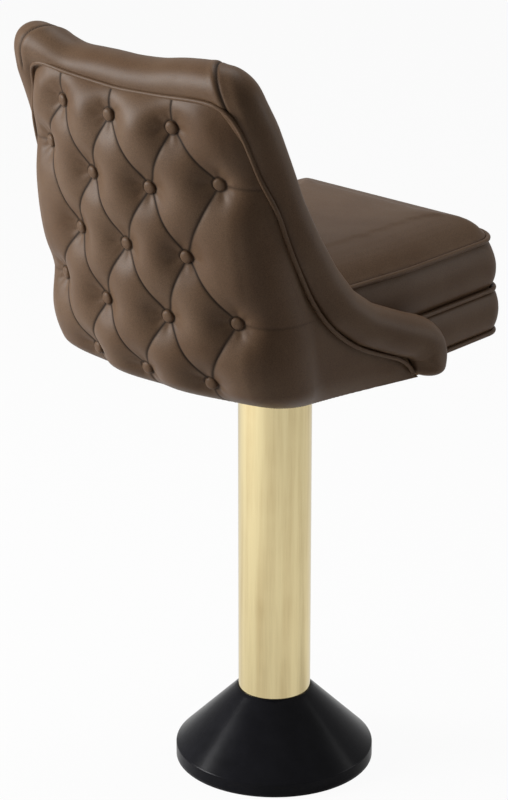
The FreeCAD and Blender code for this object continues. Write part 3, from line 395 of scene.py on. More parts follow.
def handledMaterial(name, base, rubbed, scale, roughness, spread, bump, bumpSpan=0.0001, **shaderValues):
    # painted, plated or ground metal, or cloth: base and rubbed colour, size and strength of the marks
    values = {"Base": (*base, 1), "Rubbed": (*rubbed, 1), "Scale": scale, "Roughness": roughness,
              "Spread": spread}
    return newMaterial(name, "mottle", values, bump, bumpSpan, **shaderValues)


leatherLook = {
    "Hide": (0.119, 0.067, 0.036, 1), "Worn Hide": (0.147, 0.089, 0.052, 1), "Grain Scale": 820.0,
    "Roughness": 0.46,
}
leather = newMaterial("brownLeather", "leather", leatherLook, bump=0.22, bumpSpan=0.0003, foldShadeInput=True,
                      Specular_IOR_Level=0.16)
brassLook = {"Metal": (0.95, 0.80, 0.45, 1), "Stain": (0.66, 0.50, 0.25, 1), "Roughness": 0.07}
brass = newMaterial("polishedBrass", "streak", brassLook, Metallic=1.0)
glossBlack = handledMaterial("glossBlackEnamel", (0.006, 0.006, 0.008), (0.010, 0.010, 0.013), scale=25.0,
                             roughness=0.21, spread=0.08, bump=0.02, Specular_IOR_Level=0.09)
blackSteel = handledMaterial("blackSteel", (0.018, 0.018, 0.019), (0.035, 0.034, 0.033), scale=45.0,
                             roughness=0.5, spread=0.2, bump=0.15, bumpSpan=0.0002)
bareSteel = handledMaterial("groundSteel", (0.50, 0.50, 0.51), (0.60, 0.60, 0.61), scale=120.0,
                            roughness=0.3, spread=0.25, bump=0.1, Metallic=1.0)
zincSteel = handledMaterial("zincSteel", (0.62, 0.63, 0.64), (0.72, 0.72, 0.70), scale=90.0,
                            roughness=0.35, spread=0.2, bump=0.1, Metallic=1.0)
bronze = handledMaterial("bushBronze", (0.48, 0.31, 0.15), (0.60, 0.42, 0.22), scale=150.0,
                         roughness=0.4, spread=0.2, bump=0.1, Metallic=1.0)
liningCloth = handledMaterial("liningCloth", (0.012, 0.012, 0.013), (0.022, 0.021, 0.021), scale=300.0,
                              roughness=0.85, spread=0.1, bump=0.5, bumpSpan=0.0004)
plywoodLook = {"Early Wood": (0.50, 0.34, 0.19, 1), "Late Wood": (0.36, 0.23, 0.12, 1), "Ring Scale": 30.0}
timberLook = {"Early Wood": (0.46, 0.29, 0.15, 1), "Late Wood": (0.28, 0.16, 0.08, 1), "Ring Scale": 55.0}
plywood = newMaterial("plywood", "wood", plywoodLook, bump=0.2, Roughness=0.62)
timber = newMaterial("planedTimber", "wood", timberLook, bump=0.2, Roughness=0.58)
print("stool: materials ready")


# Plan of the bucket, worked out as the solids are: an arc across the back, two corner arcs, two sides
bucket = {
    "back": 0.284, "lean": 0.134, "backRadius": 0.400, "cornerRadius": 0.050, "halfWidth": 0.195,
    "topNarrowing": 0.005, "flare": 0.07, "flarePivot": 0.100, "tuckUp": 0.090, "tuckBack": 0.032,
    "tuckSide": 0.017, "tuckFlare": 0.16, "rimUp": 0.431, "wall": 0.008,
}


def bucketPlan(up):
    # plan at a height: the back leans in a straight line; all of it draws in with the square of the depth
    # below the tuck, and the sides with the square of the height above it
    below = np.clip((bucket["tuckUp"] - up) / bucket["tuckUp"], 0.0, None)
    above = np.clip((up - bucket["tuckUp"]) / (bucket["rimUp"] - bucket["tuckUp"]), 0.0, None)
    back = bucket["back"] - bucket["lean"] * (bucket["rimUp"] - up) - bucket["tuckBack"] * below ** 2
    half = bucket["halfWidth"] - bucket["tuckSide"] * below ** 2 - bucket["topNarrowing"] * above ** 2
    turn = bucket["flare"] + bucket["tuckFlare"] * below ** 2
    outX, outY = np.cos(turn), np.sin(turn)
    centreY = back - bucket["backRadius"]
    side = outX * half + outY * bucket["flarePivot"]
    across = side - bucket["cornerRadius"] - outY * centreY
    along = np.sqrt((bucket["backRadius"] - bucket["cornerRadius"]) ** 2 - across ** 2)
    cornerX = outX * across - outY * along
    cornerY = centreY + outY * across + outX * along
    backAngle = np.arctan2(cornerX, cornerY - centreY)
    sideAngle = np.pi / 2 - turn
    backLength = bucket["backRadius"] * backAngle
    return {
        "outX": outX, "outY": outY, "centreY": centreY, "side": side, "cornerX": cornerX, "cornerY": cornerY,
        "backAngle": backAngle, "sideAngle": sideAngle, "backLength": backLength,
        "turnedIn": backLength + bucket["cornerRadius"] * (sideAngle - backAngle),
    }


def wallPoint(reach, up, offset):
    # point over the shell's outer face: how far round from the middle of the back, how high, how far out
    plan = bucketPlan(up)
    distance = np.abs(reach)
    onBack = distance <= plan["backLength"]
    angle = np.where(onBack, distance / bucket["backRadius"],
                     plan["backAngle"] + (distance - plan["backLength"]) / bucket["cornerRadius"])
    angle = np.minimum(angle, np.where(onBack, angle, plan["sideAngle"]))
    sine, cosine = np.sin(angle), np.cos(angle)
    past = np.clip(distance - plan["turnedIn"], 0.0, None)
    x = np.where(onBack, sine * (bucket["backRadius"] + offset),
                 plan["cornerX"] + sine * (bucket["cornerRadius"] + offset) + plan["outY"] * past)
    y = np.where(onBack, plan["centreY"] + cosine * (bucket["backRadius"] + offset),
                 plan["cornerY"] + cosine * (bucket["cornerRadius"] + offset) - plan["outX"] * past)
    sign = np.where(reach < 0, -1.0, 1.0)
    point = np.stack(np.broadcast_arrays(x * sign, y, up + boardUnderside), -1)
    direction = np.stack(np.broadcast_arrays(sine * sign, cosine, np.zeros_like(sine)), -1)
    return point, direction


def wallPlace(points):
    # the other way round: reach and offset of points over the shell's outer face
    up = points[..., 2] - boardUnderside
    plan = bucketPlan(up)
    x, y = np.abs(points[..., 0]), points[..., 1]
    angle = np.arctan2(x, y - plan["centreY"])
    onBack = angle <= plan["backAngle"]
    cornerTurn = np.arctan2(x - plan["cornerX"], y - plan["cornerY"])
    onCorner = cornerTurn <= plan["sideAngle"]
    past = plan["outY"] * (x - plan["cornerX"]) - plan["outX"] * (y - plan["cornerY"])
    cornerReach = plan["backLength"] + bucket["cornerRadius"] * (cornerTurn - plan["backAngle"])
    cornerOffset = np.hypot(x - plan["cornerX"], y - plan["cornerY"]) - bucket["cornerRadius"]
    sideOffset = plan["outX"] * x + plan["outY"] * y - plan["side"]
    reach = np.where(onBack, bucket["backRadius"] * angle,
                     np.where(onCorner, cornerReach, plan["turnedIn"] + past))
    offset = np.where(onBack, np.hypot(x, y - plan["centreY"]) - bucket["backRadius"],
                      np.where(onCorner, cornerOffset, sideOffset))
    return reach * np.sign(points[..., 0] + 1e-12), offset, up


# Line of the edge roll's middle, from the centre of the top to the end of the nose: half width, back, up.
# Stuffing is place across, width, rise and push outwards; lip, hollow and gather are height, distance, width.
roll = {
    "radius": 0.029, "sides": 84, "steps": 1150, "easing": 25,
    "line": [
        (0.0, 0.266, 0.4315), (0.052, 0.265, 0.433), (0.104, 0.2645, 0.4385), (0.136, 0.267, 0.4445),
        (0.158, 0.268, 0.4465), (0.1735, 0.264, 0.438), (0.180, 0.255, 0.414), (0.184, 0.243, 0.390),
        (0.187, 0.223, 0.340), (0.189, 0.200, 0.285), (0.192, 0.170, 0.228), (0.195, 0.140, 0.178),
        (0.200, 0.105, 0.133), (0.205, 0.062, 0.101), (0.211, 0.004, 0.075), (0.2155, -0.034, 0.060),
        (0.2180, -0.0515, 0.046), (0.219, -0.0575, 0.026), (0.219, -0.0560, 0.003),
    ],
    "stuffing": [(-0.095, 0.050, 0.006, 0.0), (0.098, 0.038, -0.007, 0.0), (0.180, 0.034, 0.003, 0.009)],
    "stuffingUp": 0.36, "stuffingEase": 0.06, "noseLength": 0.016, "noseWidth": 0.84, "noseStart": 0.060,
    "seamPlace": (0.157, 0.268, 0.4465), "seamSlope": (0.835, 0.42, 0.36), "seamDepth": 0.0020,
    "seamWidth": 0.0018, "seamBelow": 0.038, "seamEase": 0.012,
    "lip": (0.0009, 0.006, 0.005), "hollow": (0.0012, 0.010, 0.008), "gather": (0.0009, 0.028, 0.014),
    "leastRadius": 0.0003, "waves": (0.11, 0.0009, 2.4),
}


def mirroredLine(line):
    # whole line from its +X half, in the frame's height
    half = np.array(line)
    half[:, 2] += boardUnderside
    return np.vstack([half[:0:-1] * np.array([-1.0, 1.0, 1.0]), half])


def rimLine(count):
    # middle of the roll; its corners are eased over the same share of the line whatever the count
    return roundedLine(mirroredLine(roll["line"]), count, roll["easing"] * count // roll["steps"] + 1)


def rimOutward(points):
    # outward direction of the bucket's wall beside each point
    reach, offset, up = wallPlace(points)
    return wallPoint(reach, up, 0.0)[1]


# Tufted outside of the back
tufting = {
    "buttonDepth": 0.0255, "crest": 0.0460, "side": 0.0125, "upperSide": 0.024, "sideStart": 0.150,
    "sideEnd": 0.235, "upperFrom": 0.16, "upperEase": 0.16, "sidePull": 0.2,
    # painted shade: dark lines along the creases, a dark ring round each button, faded out near the edges
    "creasePull": 0.30, "creaseWidth": 0.0075, "broadPull": 0.12, "broadWidth": 0.022, "foldShadeWidth": 0.0018,
    "buttonEdge": 0.0075, "buttonWidth": 0.0215, "buttonShade": (0.9, 0.0093, 0.0013),
    "pucker": 0.05, "puckers": 7, "puckerAt": 0.017, "puckerWidth": 0.008,
    "edgeWidths": (0.040, 0.052, 0.040, 0.036), "foldShadeEdge": 0.006, "leastThick": 0.0015, "clear": 0.0006,
    "hemUp": 0.001, "hemRise": 0.001, "hemFrom": 0.17, "hemEase": 0.10, "hemThick": 0.0032, "hemGap": 0.004,
    "tuckIn": 0.0035, "middle": (0.0, 0.2), "waves": (0.085, 0.0008, 1.3), "columns": 430, "heights": 300,
    "innerRings": 14,
    "rows": [
        (0.390, (-0.086, 0.008, 0.095)), (0.304, (-0.045, 0.049)), (0.323, (-0.141, 0.141)),
        (0.218, (-0.087, 0.002, 0.089)), (0.129, (-0.051, 0.051)), (0.136, (-0.146, 0.146)),
        (0.042, (-0.096, 0.0, 0.096)),
    ],
}
buttonPlaces = np.array([(reach, up) for up, reaches in tufting["rows"] for reach in reaches])


def creaseLines():
    # start and end (reach, up) of each crease, how hard it pulls at its start and at its end
    row1, row2, row2out, row3, row4, row4out, row5 = tufting["rows"]
    lines = []
    for side in (0, 1):
        sign = 2 * side - 1
        mid1, out1 = (row1[1][1], row1[0]), (row1[1][2 * side], row1[0])
        in2, out2 = (row2[1][side], row2[0]), (row2out[1][side], row2out[0])
        mid3, out3 = (row3[1][1], row3[0]), (row3[1][2 * side], row3[0])
        in4, out4 = (row4[1][side], row4[0]), (row4out[1][side], row4out[0])
        mid5, out5 = (row5[1][1], row5[0]), (row5[1][2 * side], row5[0])
        for start, end in ((mid1, in2), (out1, in2), (out1, out2), (in2, mid3), (in2, out3), (out2, out3),
                           (mid3, in4), (out3, in4), (out3, out4), (in4, mid5), (in4, out5), (out4, out5)):
            lines.append((start, end, 1.0, 1.0))
        lines.append((out1, (out1[0] + sign * 0.003, 0.45), 1.0, 0.9))
        lines.append((out5, (sign * 0.097, 0.0), 1.0, 0.7))
        lines.append((out2, (sign * 0.205, 0.318), 0.55, 0.25))
        lines.append((out4, (sign * 0.235, 0.128), 0.4, 0.2))
    lines.append((mid1, (mid1[0] + 0.003, 0.45), 1.0, 0.9))
    lines.append((mid5, (0.0, 0.0), 1.0, 0.7))
    return lines


def tuftPull(reach, up):
    # how far the padding is drawn in, 0 to 1, and how strong the painted shade along the creases and round
    # the buttons is; what is left of the height is the product over all creases and buttons of 1 - pull *
    # exp(-(distance / width)^power)
    left = np.ones_like(reach)
    foldShade = np.zeros_like(reach)
    for start, end, first, last in creaseLines():
        runX, runY = end[0] - start[0], end[1] - start[1]
        length = math.hypot(runX, runY)
        share = np.clip(((reach - start[0]) * runX + (up - start[1]) * runY) / length ** 2, 0.0, 1.0)
        away = np.hypot(reach - start[0] - share * runX, up - start[1] - share * runY)
        strength = first + (last - first) * share
        valley = tufting["creasePull"] * strength * np.exp(-(away / tufting["creaseWidth"]) ** 0.85)
        broad = tufting["broadPull"] * strength * bell(away, tufting["broadWidth"])
        left *= (1 - valley) * (1 - broad)
        foldShade = np.maximum(foldShade, strength * bell(away, tufting["foldShadeWidth"]))
    for spotX, spotY in buttonPlaces:
        away = np.hypot(reach - spotX, up - spotY)
        around = np.arctan2(up - spotY, reach - spotX)
        waves = np.cos(tufting["puckers"] * around + 40 * spotX)
        pucker = 1 + tufting["pucker"] * waves * bell(away - tufting["puckerAt"], tufting["puckerWidth"])
        dip = np.exp(-(np.clip(away - tufting["buttonEdge"], 0.0, None) / tufting["buttonWidth"]) ** 1.3)
        left *= 1 - np.clip(dip * pucker, 0.0, 1.0)
        # painted shade: a dark ring round each button's dip
        paintedShade, darkAt, darkWidth = tufting["buttonShade"]
        foldShade = np.maximum(foldShade, paintedShade * bell(away - darkAt, darkWidth))
    return 1 - left, foldShade


def edgeDistance(reach, up, line, softness=0.02):
    # distance to the line's nearest point and the line's third value near there, a block of rows at a time
    away, carried = np.empty_like(reach), np.empty_like(reach)
    for low in range(0, len(reach), 20):
        block = slice(low, low + 20)
        gap = np.hypot(reach[block][..., None] - line[:, 0], up[block][..., None] - line[:, 1])
        away[block] = gap.min(-1)
        nearness = np.exp((away[block][..., None] - gap) / softness)
        carried[block] = (nearness * line[:, 2]).sum(-1) / nearness.sum(-1)
    return away, carried


def sideShare(reach):
    # 0 over the back, 1 on the sides
    return easeStep((np.abs(reach) - tufting["sideStart"]) / (tufting["sideEnd"] - tufting["sideStart"]))


# Piping between roll and tufted back, from the middle of the top to the hem: half width, back, up
backWelt = {
    "radius": 0.0030, "steps": 700, "sides": 14, "easing": 34, "clear": 0.0008,
    "drawnIn": 0.019, "drawnUp": 0.405, "drawnHeight": 0.045, "drawnFrom": 0.10, "drawnEase": 0.06,
    "drawnForward": 0.2,
    "line": [
        (0.0, 0.2952, 0.4228), (0.041, 0.2944, 0.4246), (0.078, 0.2936, 0.4262), (0.116, 0.294, 0.4299),
        (0.152, 0.2943, 0.4315), (0.169, 0.2937, 0.4302), (0.1835, 0.2888, 0.4205), (0.188, 0.2855, 0.413),
        (0.192, 0.2769, 0.394), (0.1946, 0.2652, 0.3678), (0.1965, 0.2545, 0.342), (0.201, 0.245, 0.320),
        (0.2085, 0.231, 0.292), (0.209, 0.224, 0.2745), (0.2085, 0.216, 0.256), (0.2078, 0.208, 0.239),
        (0.2075, 0.199, 0.222), (0.207, 0.181, 0.188), (0.2065, 0.1615, 0.154), (0.208, 0.137, 0.121),
        (0.2105, 0.105, 0.091), (0.212, 0.069, 0.068), (0.214, 0.032, 0.052), (0.2165, 0.0, 0.039),
        (0.219, -0.020, 0.027), (0.219, -0.028, 0.012),
    ],
}


def weltLine(count):
    line = roundedLine(mirroredLine(backWelt["line"]), count, backWelt["easing"])
    # the upper corner on the +X side is drawn further in by a bell over its height
    corner = bell(line[:, 2] - boardUnderside - backWelt["drawnUp"], backWelt["drawnHeight"])
    corner = corner * easeStep((line[:, 0] - backWelt["drawnFrom"]) / backWelt["drawnEase"])
    line[:, 0] -= backWelt["drawnIn"] * corner
    line[:, 1] -= backWelt["drawnForward"] * backWelt["drawnIn"] * corner
    return evenLine(line, count)


weltPath = weltLine(backWelt["steps"])


def hemUp(reach):
    # height of the lower edge: level behind, a little higher along the arms
    share = easeStep((np.abs(reach) - tufting["hemFrom"]) / tufting["hemEase"])
    return tufting["hemUp"] + tufting["hemRise"] * share


def padOutline():
    # closed outline of the tufted pad over the shell: reach, up and the padding's thickness at its edge
    reach, offset, up = wallPlace(weltPath)
    edge = np.stack([reach, up, offset - backWelt["radius"] - backWelt["clear"]], 1)
    edge = edge[up > hemUp(reach) + tufting["hemGap"]]
    along = unit(np.gradient(edge[:, :2], axis=0))
    edge[:, :2] += np.stack([-along[:, 1], along[:, 0]], 1) * tufting["tuckIn"]
    feet = [[[edge[end, 0], hemUp(edge[end, 0]), tufting["hemThick"]]] for end in (0, -1)]
    return np.vstack([feet[0], edge, feet[1]])


def upperCorner(outline):
    # number of the outline point furthest up and out on its first half
    half = outline[:len(outline) // 2]
    return int(np.argmax(half[:, 1] - half[:, 0]))


def coonsGrid(outline):
    # grid that fills the outline: blend of the two facing edges each way, less the blend of the corners
    corner = upperCorner(outline)
    heights, columns, topCount = tufting["heights"], tufting["columns"], 600
    left = evenLine(outline[:corner + 1, :2], heights)
    right = evenLine(outline[::-1][:corner + 1, :2], heights)
    top = evenLine(outline[corner:len(outline) - corner, :2], topCount)
    even = np.linspace(-1.0, 1.0, columns)
    spread = 0.74 * even + 0.26 * even ** 5  # columns closer together over the tufts
    top = np.stack([np.interp(spread, np.linspace(-1, 1, topCount), top[:, k]) for k in (0, 1)], 1)
    bottomReach = np.interp(spread, [-1, 1], [left[0, 0], right[0, 0]])
    bottom = np.stack([bottomReach, hemUp(bottomReach)], 1)
    across = ((spread + 1) / 2)[None, :, None]
    upward = np.linspace(0.0, 1.0, heights)[:, None, None]
    sides = (1 - across) * left[:, None, :] + across * right[:, None, :]
    ends = (1 - upward) * bottom[None, :, :] + upward * top[None, :, :]
    corners = ((1 - across) * (1 - upward) * left[0] + across * (1 - upward) * right[0]
               + (1 - across) * upward * left[-1] + across * upward * right[-1])
    return sides + ends - corners


def tuftedThickness(reach, up, edges):
    # padding over the shell: rim + (full - rim) * product of a quarter wave of the distance from each edge
    pull, foldShade = tuftPull(reach, up)
    share = sideShare(reach)
    upper = easeStep((up - tufting["upperFrom"]) / tufting["upperEase"])
    side = tufting["side"] + (tufting["upperSide"] - tufting["side"]) * upper
    full = tufting["crest"] + (side - tufting["crest"]) * share
    full = full - (tufting["crest"] - tufting["buttonDepth"]) * pull * (1 - (1 - tufting["sidePull"]) * share)
    rim = edgeDistance(reach, up, evenLine(np.vstack(edges), 700))[1]
    rise, nearest = 1.0, 1.0
    for edge, wide in zip(edges, tufting["edgeWidths"]):
        away = edgeDistance(reach, up, evenLine(edge, 240))[0]
        rise = rise * quarterWave(away, wide) ** 0.85
        nearest = np.minimum(nearest, away)
    # the painted crease shade fades out within a few millimetres of the pad's edges
    return rim + (full - rim) * rise, rise, foldShade * np.clip(nearest / tufting["foldShadeEdge"], 0.0, 1.0)


def makeTuftedBack():
    outline = padOutline()
    grid = coonsGrid(outline)
    reach, up = grid[..., 0], grid[..., 1]
    hemReach = np.linspace(-outline[0, 0], outline[0, 0], 200)[1:-1]
    hem = np.stack([hemReach, hemUp(hemReach), np.full(len(hemReach), tufting["hemThick"])], 1)
    corner = upperCorner(outline)
    facing = len(outline) - corner
    edges = (outline[:corner + 1], outline[corner:facing], outline[facing - 1:], hem)
    thick, rise, foldShade = tuftedThickness(reach, up, edges)
    points = wallPoint(reach, up, thick)[0]
    waves = softWaves(points, *tufting["waves"]) * rise
    points = wallPoint(reach, up, np.maximum(thick + waves, tufting["leastThick"]))[0]
    rows, columns = reach.shape
    # the inner face lies on the shell in rings that close in on the middle
    ringIndex = np.concatenate([np.arange(columns), np.arange(1, rows) * columns + columns - 1,
                                (rows - 1) * columns + np.arange(columns - 2, -1, -1),
                                np.arange(rows - 2, 0, -1) * columns])
    ring = grid.reshape(-1, 2)[ringIndex]
    middle, innerRings, clear = np.array(tufting["middle"]), tufting["innerRings"], tufting["clear"]
    inner = closingRings(ring, middle, innerRings)
    innerPoints = wallPoint(inner[..., 0], inner[..., 1], clear)[0].reshape(-1, 3)
    hub = wallPoint(middle[0], middle[1], clear)[0][None]
    count, ringCount = rows * columns, len(ringIndex)
    first = count + np.arange(ringCount)
    allPoints = np.vstack([points.reshape(-1, 3), innerPoints, hub])
    faces = [gridQuads(rows, columns), bridgeQuads(ringIndex, first),
             gridQuads(innerRings, ringCount, wrapColumns=True) + count,
             fanTriangles(first + (innerRings - 1) * ringCount, len(allPoints) - 1)]
    # painted shade per point; none on the inner face
    allFoldShades = np.concatenate([foldShade.ravel(), np.zeros(len(innerPoints) + 1)])
    piece = makeLeatherPiece("tuftedBack", "tufted_back_pad", allPoints, faces, allFoldShades)


makeTuftedBack()
print("stool: tufted back ready")


# Buttons: covered domes, all in one piece
button = {
    "radius": 0.0087, "height": 0.0058, "rings": 9, "sides": 28, "sink": 0.0015, "base": -0.003,
    "baseRadius": 0.86, "shadeFrom": 0.0005, "shadeOver": 0.003,
}


def makeButtons():
    # profile: a disc whose edge turns down, powers of the sine and cosine of one angle as radius and height
    turn = np.linspace(0.0, np.pi / 2, button["rings"])
    radius = button["radius"] * np.sin(turn) ** 0.75
    height = button["height"] * np.cos(turn) ** 0.6
    radius = np.append(radius, button["radius"] * button["baseRadius"])
    height = np.append(height, button["base"])
    around = np.linspace(0.0, 2 * np.pi, button["sides"], endpoint=False)
    local = np.stack([radius[:, None] * np.cos(around), radius[:, None] * np.sin(around),
                      np.broadcast_to(height[:, None], (len(radius), button["sides"]))], -1).reshape(-1, 3)
    local = np.vstack([local, [[0, 0, button["base"]]]])
    cells = gridQuads(len(radius), button["sides"], wrapColumns=True)
    base = fanTriangles(np.arange(button["sides"]) + (len(radius) - 1) * button["sides"], len(local) - 1)
    points, faces, foldShades = [], [], []
    for index, (reach, up) in enumerate(buttonPlaces):
        spot, outward = wallPoint(np.array(reach), np.array(up), tufting["buttonDepth"] - button["sink"])
        outward = unit(outward + np.array([0, 0, -bucket["lean"]]))
        sideways = unit(np.cross([0, 0, 1.0], outward))
        upward = np.cross(outward, sideways)
        points.append(spot + local[:, :1] * sideways + local[:, 1:2] * upward + local[:, 2:] * outward)
        faces += [cells + index * len(local), base + index * len(local)]
        # painted shade on the underside of each button where it sinks into the padding
        foldShades.append(np.clip((-local[:, 2] + button["shadeFrom"]) / button["shadeOver"], 0, 1))
    makeLeatherPiece("tuftButtons", "tufting_buttons", np.vstack(points), faces, np.concatenate(foldShades))


makeButtons()


def makeRoll():
    # edge roll with a mitred seam at each top corner
    path = rimLine(roll["steps"])
    outward = rimOutward(path)
    run = runLength(path)
    fromEnd = np.minimum(run, run[-1] - run)
    # nose: narrows a little towards its end, then closes as sqrt(1 - t^3)
    narrow = 1 - (1 - roll["noseWidth"]) * easeStep(1 - fromEnd / roll["noseStart"])
    close = np.clip(1 - fromEnd / roll["noseLength"], 0.0, 1.0)
    radius = np.maximum(roll["radius"] * narrow * np.sqrt(1 - close ** 3), roll["leastRadius"])
    turn = np.linspace(0.0, 2 * np.pi, roll["sides"], endpoint=False)[None, :]
    shape = np.broadcast_to(radius[:, None], (len(path), roll["sides"])).copy()
    plain = tubePoints(path, outward, shape, roll["sides"])
    # seam: distance from a slanted plane through each top corner; groove, lip before it, hollow beyond
    seamHalf, seamBack, seamUp = roll["seamPlace"]
    slopeHalf, slopeBack, slopeUp = roll["seamSlope"]
    halfAt, backAt = np.abs(plain[..., 0]) - seamHalf, plain[..., 1] - seamBack
    upAt = plain[..., 2] - boardUnderside - seamUp
    away = slopeHalf * halfAt - slopeBack * backAt + slopeUp * upAt
    near = easeStep((upAt + roll["seamBelow"]) / roll["seamEase"])
    lipHeight, lipAt, lipWidth = roll["lip"]
    hollowDepth, hollowAt, hollowWidth = roll["hollow"]
    # painted shade along the seam's groove
    foldShade = near * bell(away, roll["seamWidth"])
    shape -= near * roll["seamDepth"] * bell(away, roll["seamWidth"])
    shape += near * lipHeight * bell(away + lipAt, lipWidth)
    shape -= near * hollowDepth * bell(away - hollowAt, hollowWidth)
    # gathers beside each nose's end
    gatherHeight, gatherAt, gatherWidth = roll["gather"]
    gather = bell(fromEnd[:, None] - gatherAt, gatherWidth) * np.cos(5 * turn + 60 * fromEnd[:, None])
    shape += gatherHeight * gather
    waves = softWaves(tubePoints(path, outward, shape, roll["sides"]), *roll["waves"])
    rings = tubePoints(path, outward, shape + waves * (radius / roll["radius"])[:, None], roll["sides"])
    # the stuffing lies unevenly over the top: bell-shaped rises and a dip, and a fuller corner at +X
    upper = easeStep(0.5 + (rings[..., 2] - path[:, None, 2]) / (1.6 * roll["radius"]))
    upper = upper * easeStep((path[:, None, 2] - boardUnderside - roll["stuffingUp"]) / roll["stuffingEase"])
    for at, width, rise, outwards in roll["stuffing"]:
        lump = upper * bell(rings[..., 0] - at, width)
        rings[..., 2] += rise * lump
        rings[..., 0] += outwards * lump
    piece = tubePiece("edgeRoll", "edge_roll", path, rings, foldShade=np.concatenate([foldShade.ravel(), [0.0, 0.0]]))


makeRoll()
cord("backWelt", "back_welt", weltPath, rimOutward(weltPath), backWelt["radius"], sides=backWelt["sides"])
print("stool: roll, welt and buttons ready")


# Inside of the bucket: one crowned pad
innerPad = {
    "bottomUp": 0.070, "full": 0.020, "crown": 0.011, "rim": 0.009, "edgeWidth": 0.05, "clear": 0.0006,
    "middle": (0.0, 0.25), "inset": (0.985, 0.975), "steps": 260, "rings": 45,
}
puff = {
    "voxel": 0.004, "pressure": 6.0, "cap": 0.0016, "hold": 0.5, "quality": 5, "mass": 0.3, "stiffness": 8,
    "bending": 4.0, "frames": 20,
}


def meshNumbers(items, key, count):
    # one vector per vertex
    values = np.empty(count * 3)
    items.foreach_get(key, values)
    return values.reshape(-1, 3)


def simulatePad(piece, holdMask):
    # cloth inflated a little; each point keeps the outward part of its move, from nothing up to the cap
    material = piece.data.materials[0]
    even = piece.modifiers.new("even", "REMESH")
    even.mode = "VOXEL"
    even.voxel_size = puff["voxel"]
    graph = bpy.context.evaluated_depsgraph_get()
    evened = bpy.data.meshes.new_from_object(piece.evaluated_get(graph))
    piece.modifiers.clear()
    evened.materials.clear()
    evened.materials.append(material)
    piece.data = evened
    count = len(evened.vertices)
    start = meshNumbers(evened.vertices, "co", count)
    normals = meshNumbers(evened.vertex_normals, "vector", count)
    group = piece.vertex_groups.new(name="seam")
    group.add(np.nonzero(holdMask(start))[0].tolist(), puff["hold"], "REPLACE")
    cloth = piece.modifiers.new("puff", "CLOTH")
    settings = cloth.settings
    settings.quality = puff["quality"]
    settings.mass = puff["mass"]
    settings.tension_stiffness = puff["stiffness"]
    settings.compression_stiffness = puff["stiffness"]
    settings.bending_stiffness = puff["bending"]
    settings.use_pressure = True
    settings.uniform_pressure_force = puff["pressure"]
    settings.effector_weights.gravity = 0.0
    settings.vertex_group_mass = "seam"
    cloth.point_cache.frame_start = 1
    cloth.point_cache.frame_end = puff["frames"]
    for moment in range(1, puff["frames"] + 1):
        bpy.context.scene.frame_set(moment)
    graph = bpy.context.evaluated_depsgraph_get()
    puffed = bpy.data.meshes.new_from_object(piece.evaluated_get(graph))
    piece.modifiers.clear()
    bpy.context.scene.frame_set(1)
    lift = ((meshNumbers(puffed.vertices, "co", count) - start) * normals).sum(1, keepdims=True)
    puffed.vertices.foreach_set("co", (start + normals * np.clip(lift, 0.0, puff["cap"])).ravel())
    puffed.materials.clear()
    puffed.materials.append(material)
    puffed.shade_smooth()
    piece.data = puffed
    piece.vertex_groups.clear()
    smooth = piece.modifiers.new("finer", "SUBSURF")
    smooth.levels = 1
    smooth.render_levels = 1


def makeInnerPad():
    # rings that close in on the middle; thickness: a sine rise from the edge and a sine over the height
    path = rimLine(400)
    reach, offset, up = wallPlace(path)
    edge = np.stack([reach, up], 1)
    bottom = innerPad["bottomUp"]
    edge = edge[edge[:, 1] > bottom]
    outline = np.vstack([[[edge[0, 0], bottom]], edge, [[-edge[0, 0], bottom]]])
    middle = np.array(innerPad["middle"])
    outline = middle + (outline - middle) * np.array(innerPad["inset"])
    outline[:, 1] = np.maximum(outline[:, 1], bottom)
    ring = evenLine(outline, innerPad["steps"], closed=True)
    grid = closingRings(ring, middle, innerPad["rings"])
    flat = np.column_stack([outline, np.zeros(len(outline))])
    away = edgeDistance(grid[..., 0], grid[..., 1], evenLine(flat, 400, closed=True))[0]
    rise = quarterWave(away, innerPad["edgeWidth"]) ** 0.8
    span = np.clip((grid[..., 1] - bottom) / (bucket["rimUp"] - bottom), 0.0, 1.0)
    full = innerPad["full"] + innerPad["crown"] * np.sin(np.pi * span)
    thick = innerPad["rim"] + (full - innerPad["rim"]) * rise
    near = -bucket["wall"] - innerPad["clear"]
    front = wallPoint(grid[..., 0], grid[..., 1], near - thick)[0].reshape(-1, 3)
    rear = wallPoint(grid[..., 0], grid[..., 1], np.full(grid.shape[:2], near))[0].reshape(-1, 3)
    deep = innerPad["full"] + innerPad["crown"]
    hubs = np.stack([wallPoint(middle[0], middle[1], depth)[0] for depth in (near - deep, near)])
    rows, count = grid.shape[:2]
    size = rows * count
    face = gridQuads(rows, count, wrapColumns=True)
    outer = np.arange(count)
    last = outer + (rows - 1) * count
    faces = [face, face + size, bridgeQuads(outer, outer + size), fanTriangles(last, 2 * size),
             fanTriangles(last + size, 2 * size + 1)]
    piece = makeLeatherPiece("innerBackPad", "inner_back_pad", np.vstack([front, rear, hubs]), faces)


makeInnerPad()
print("stool: inner pad ready")


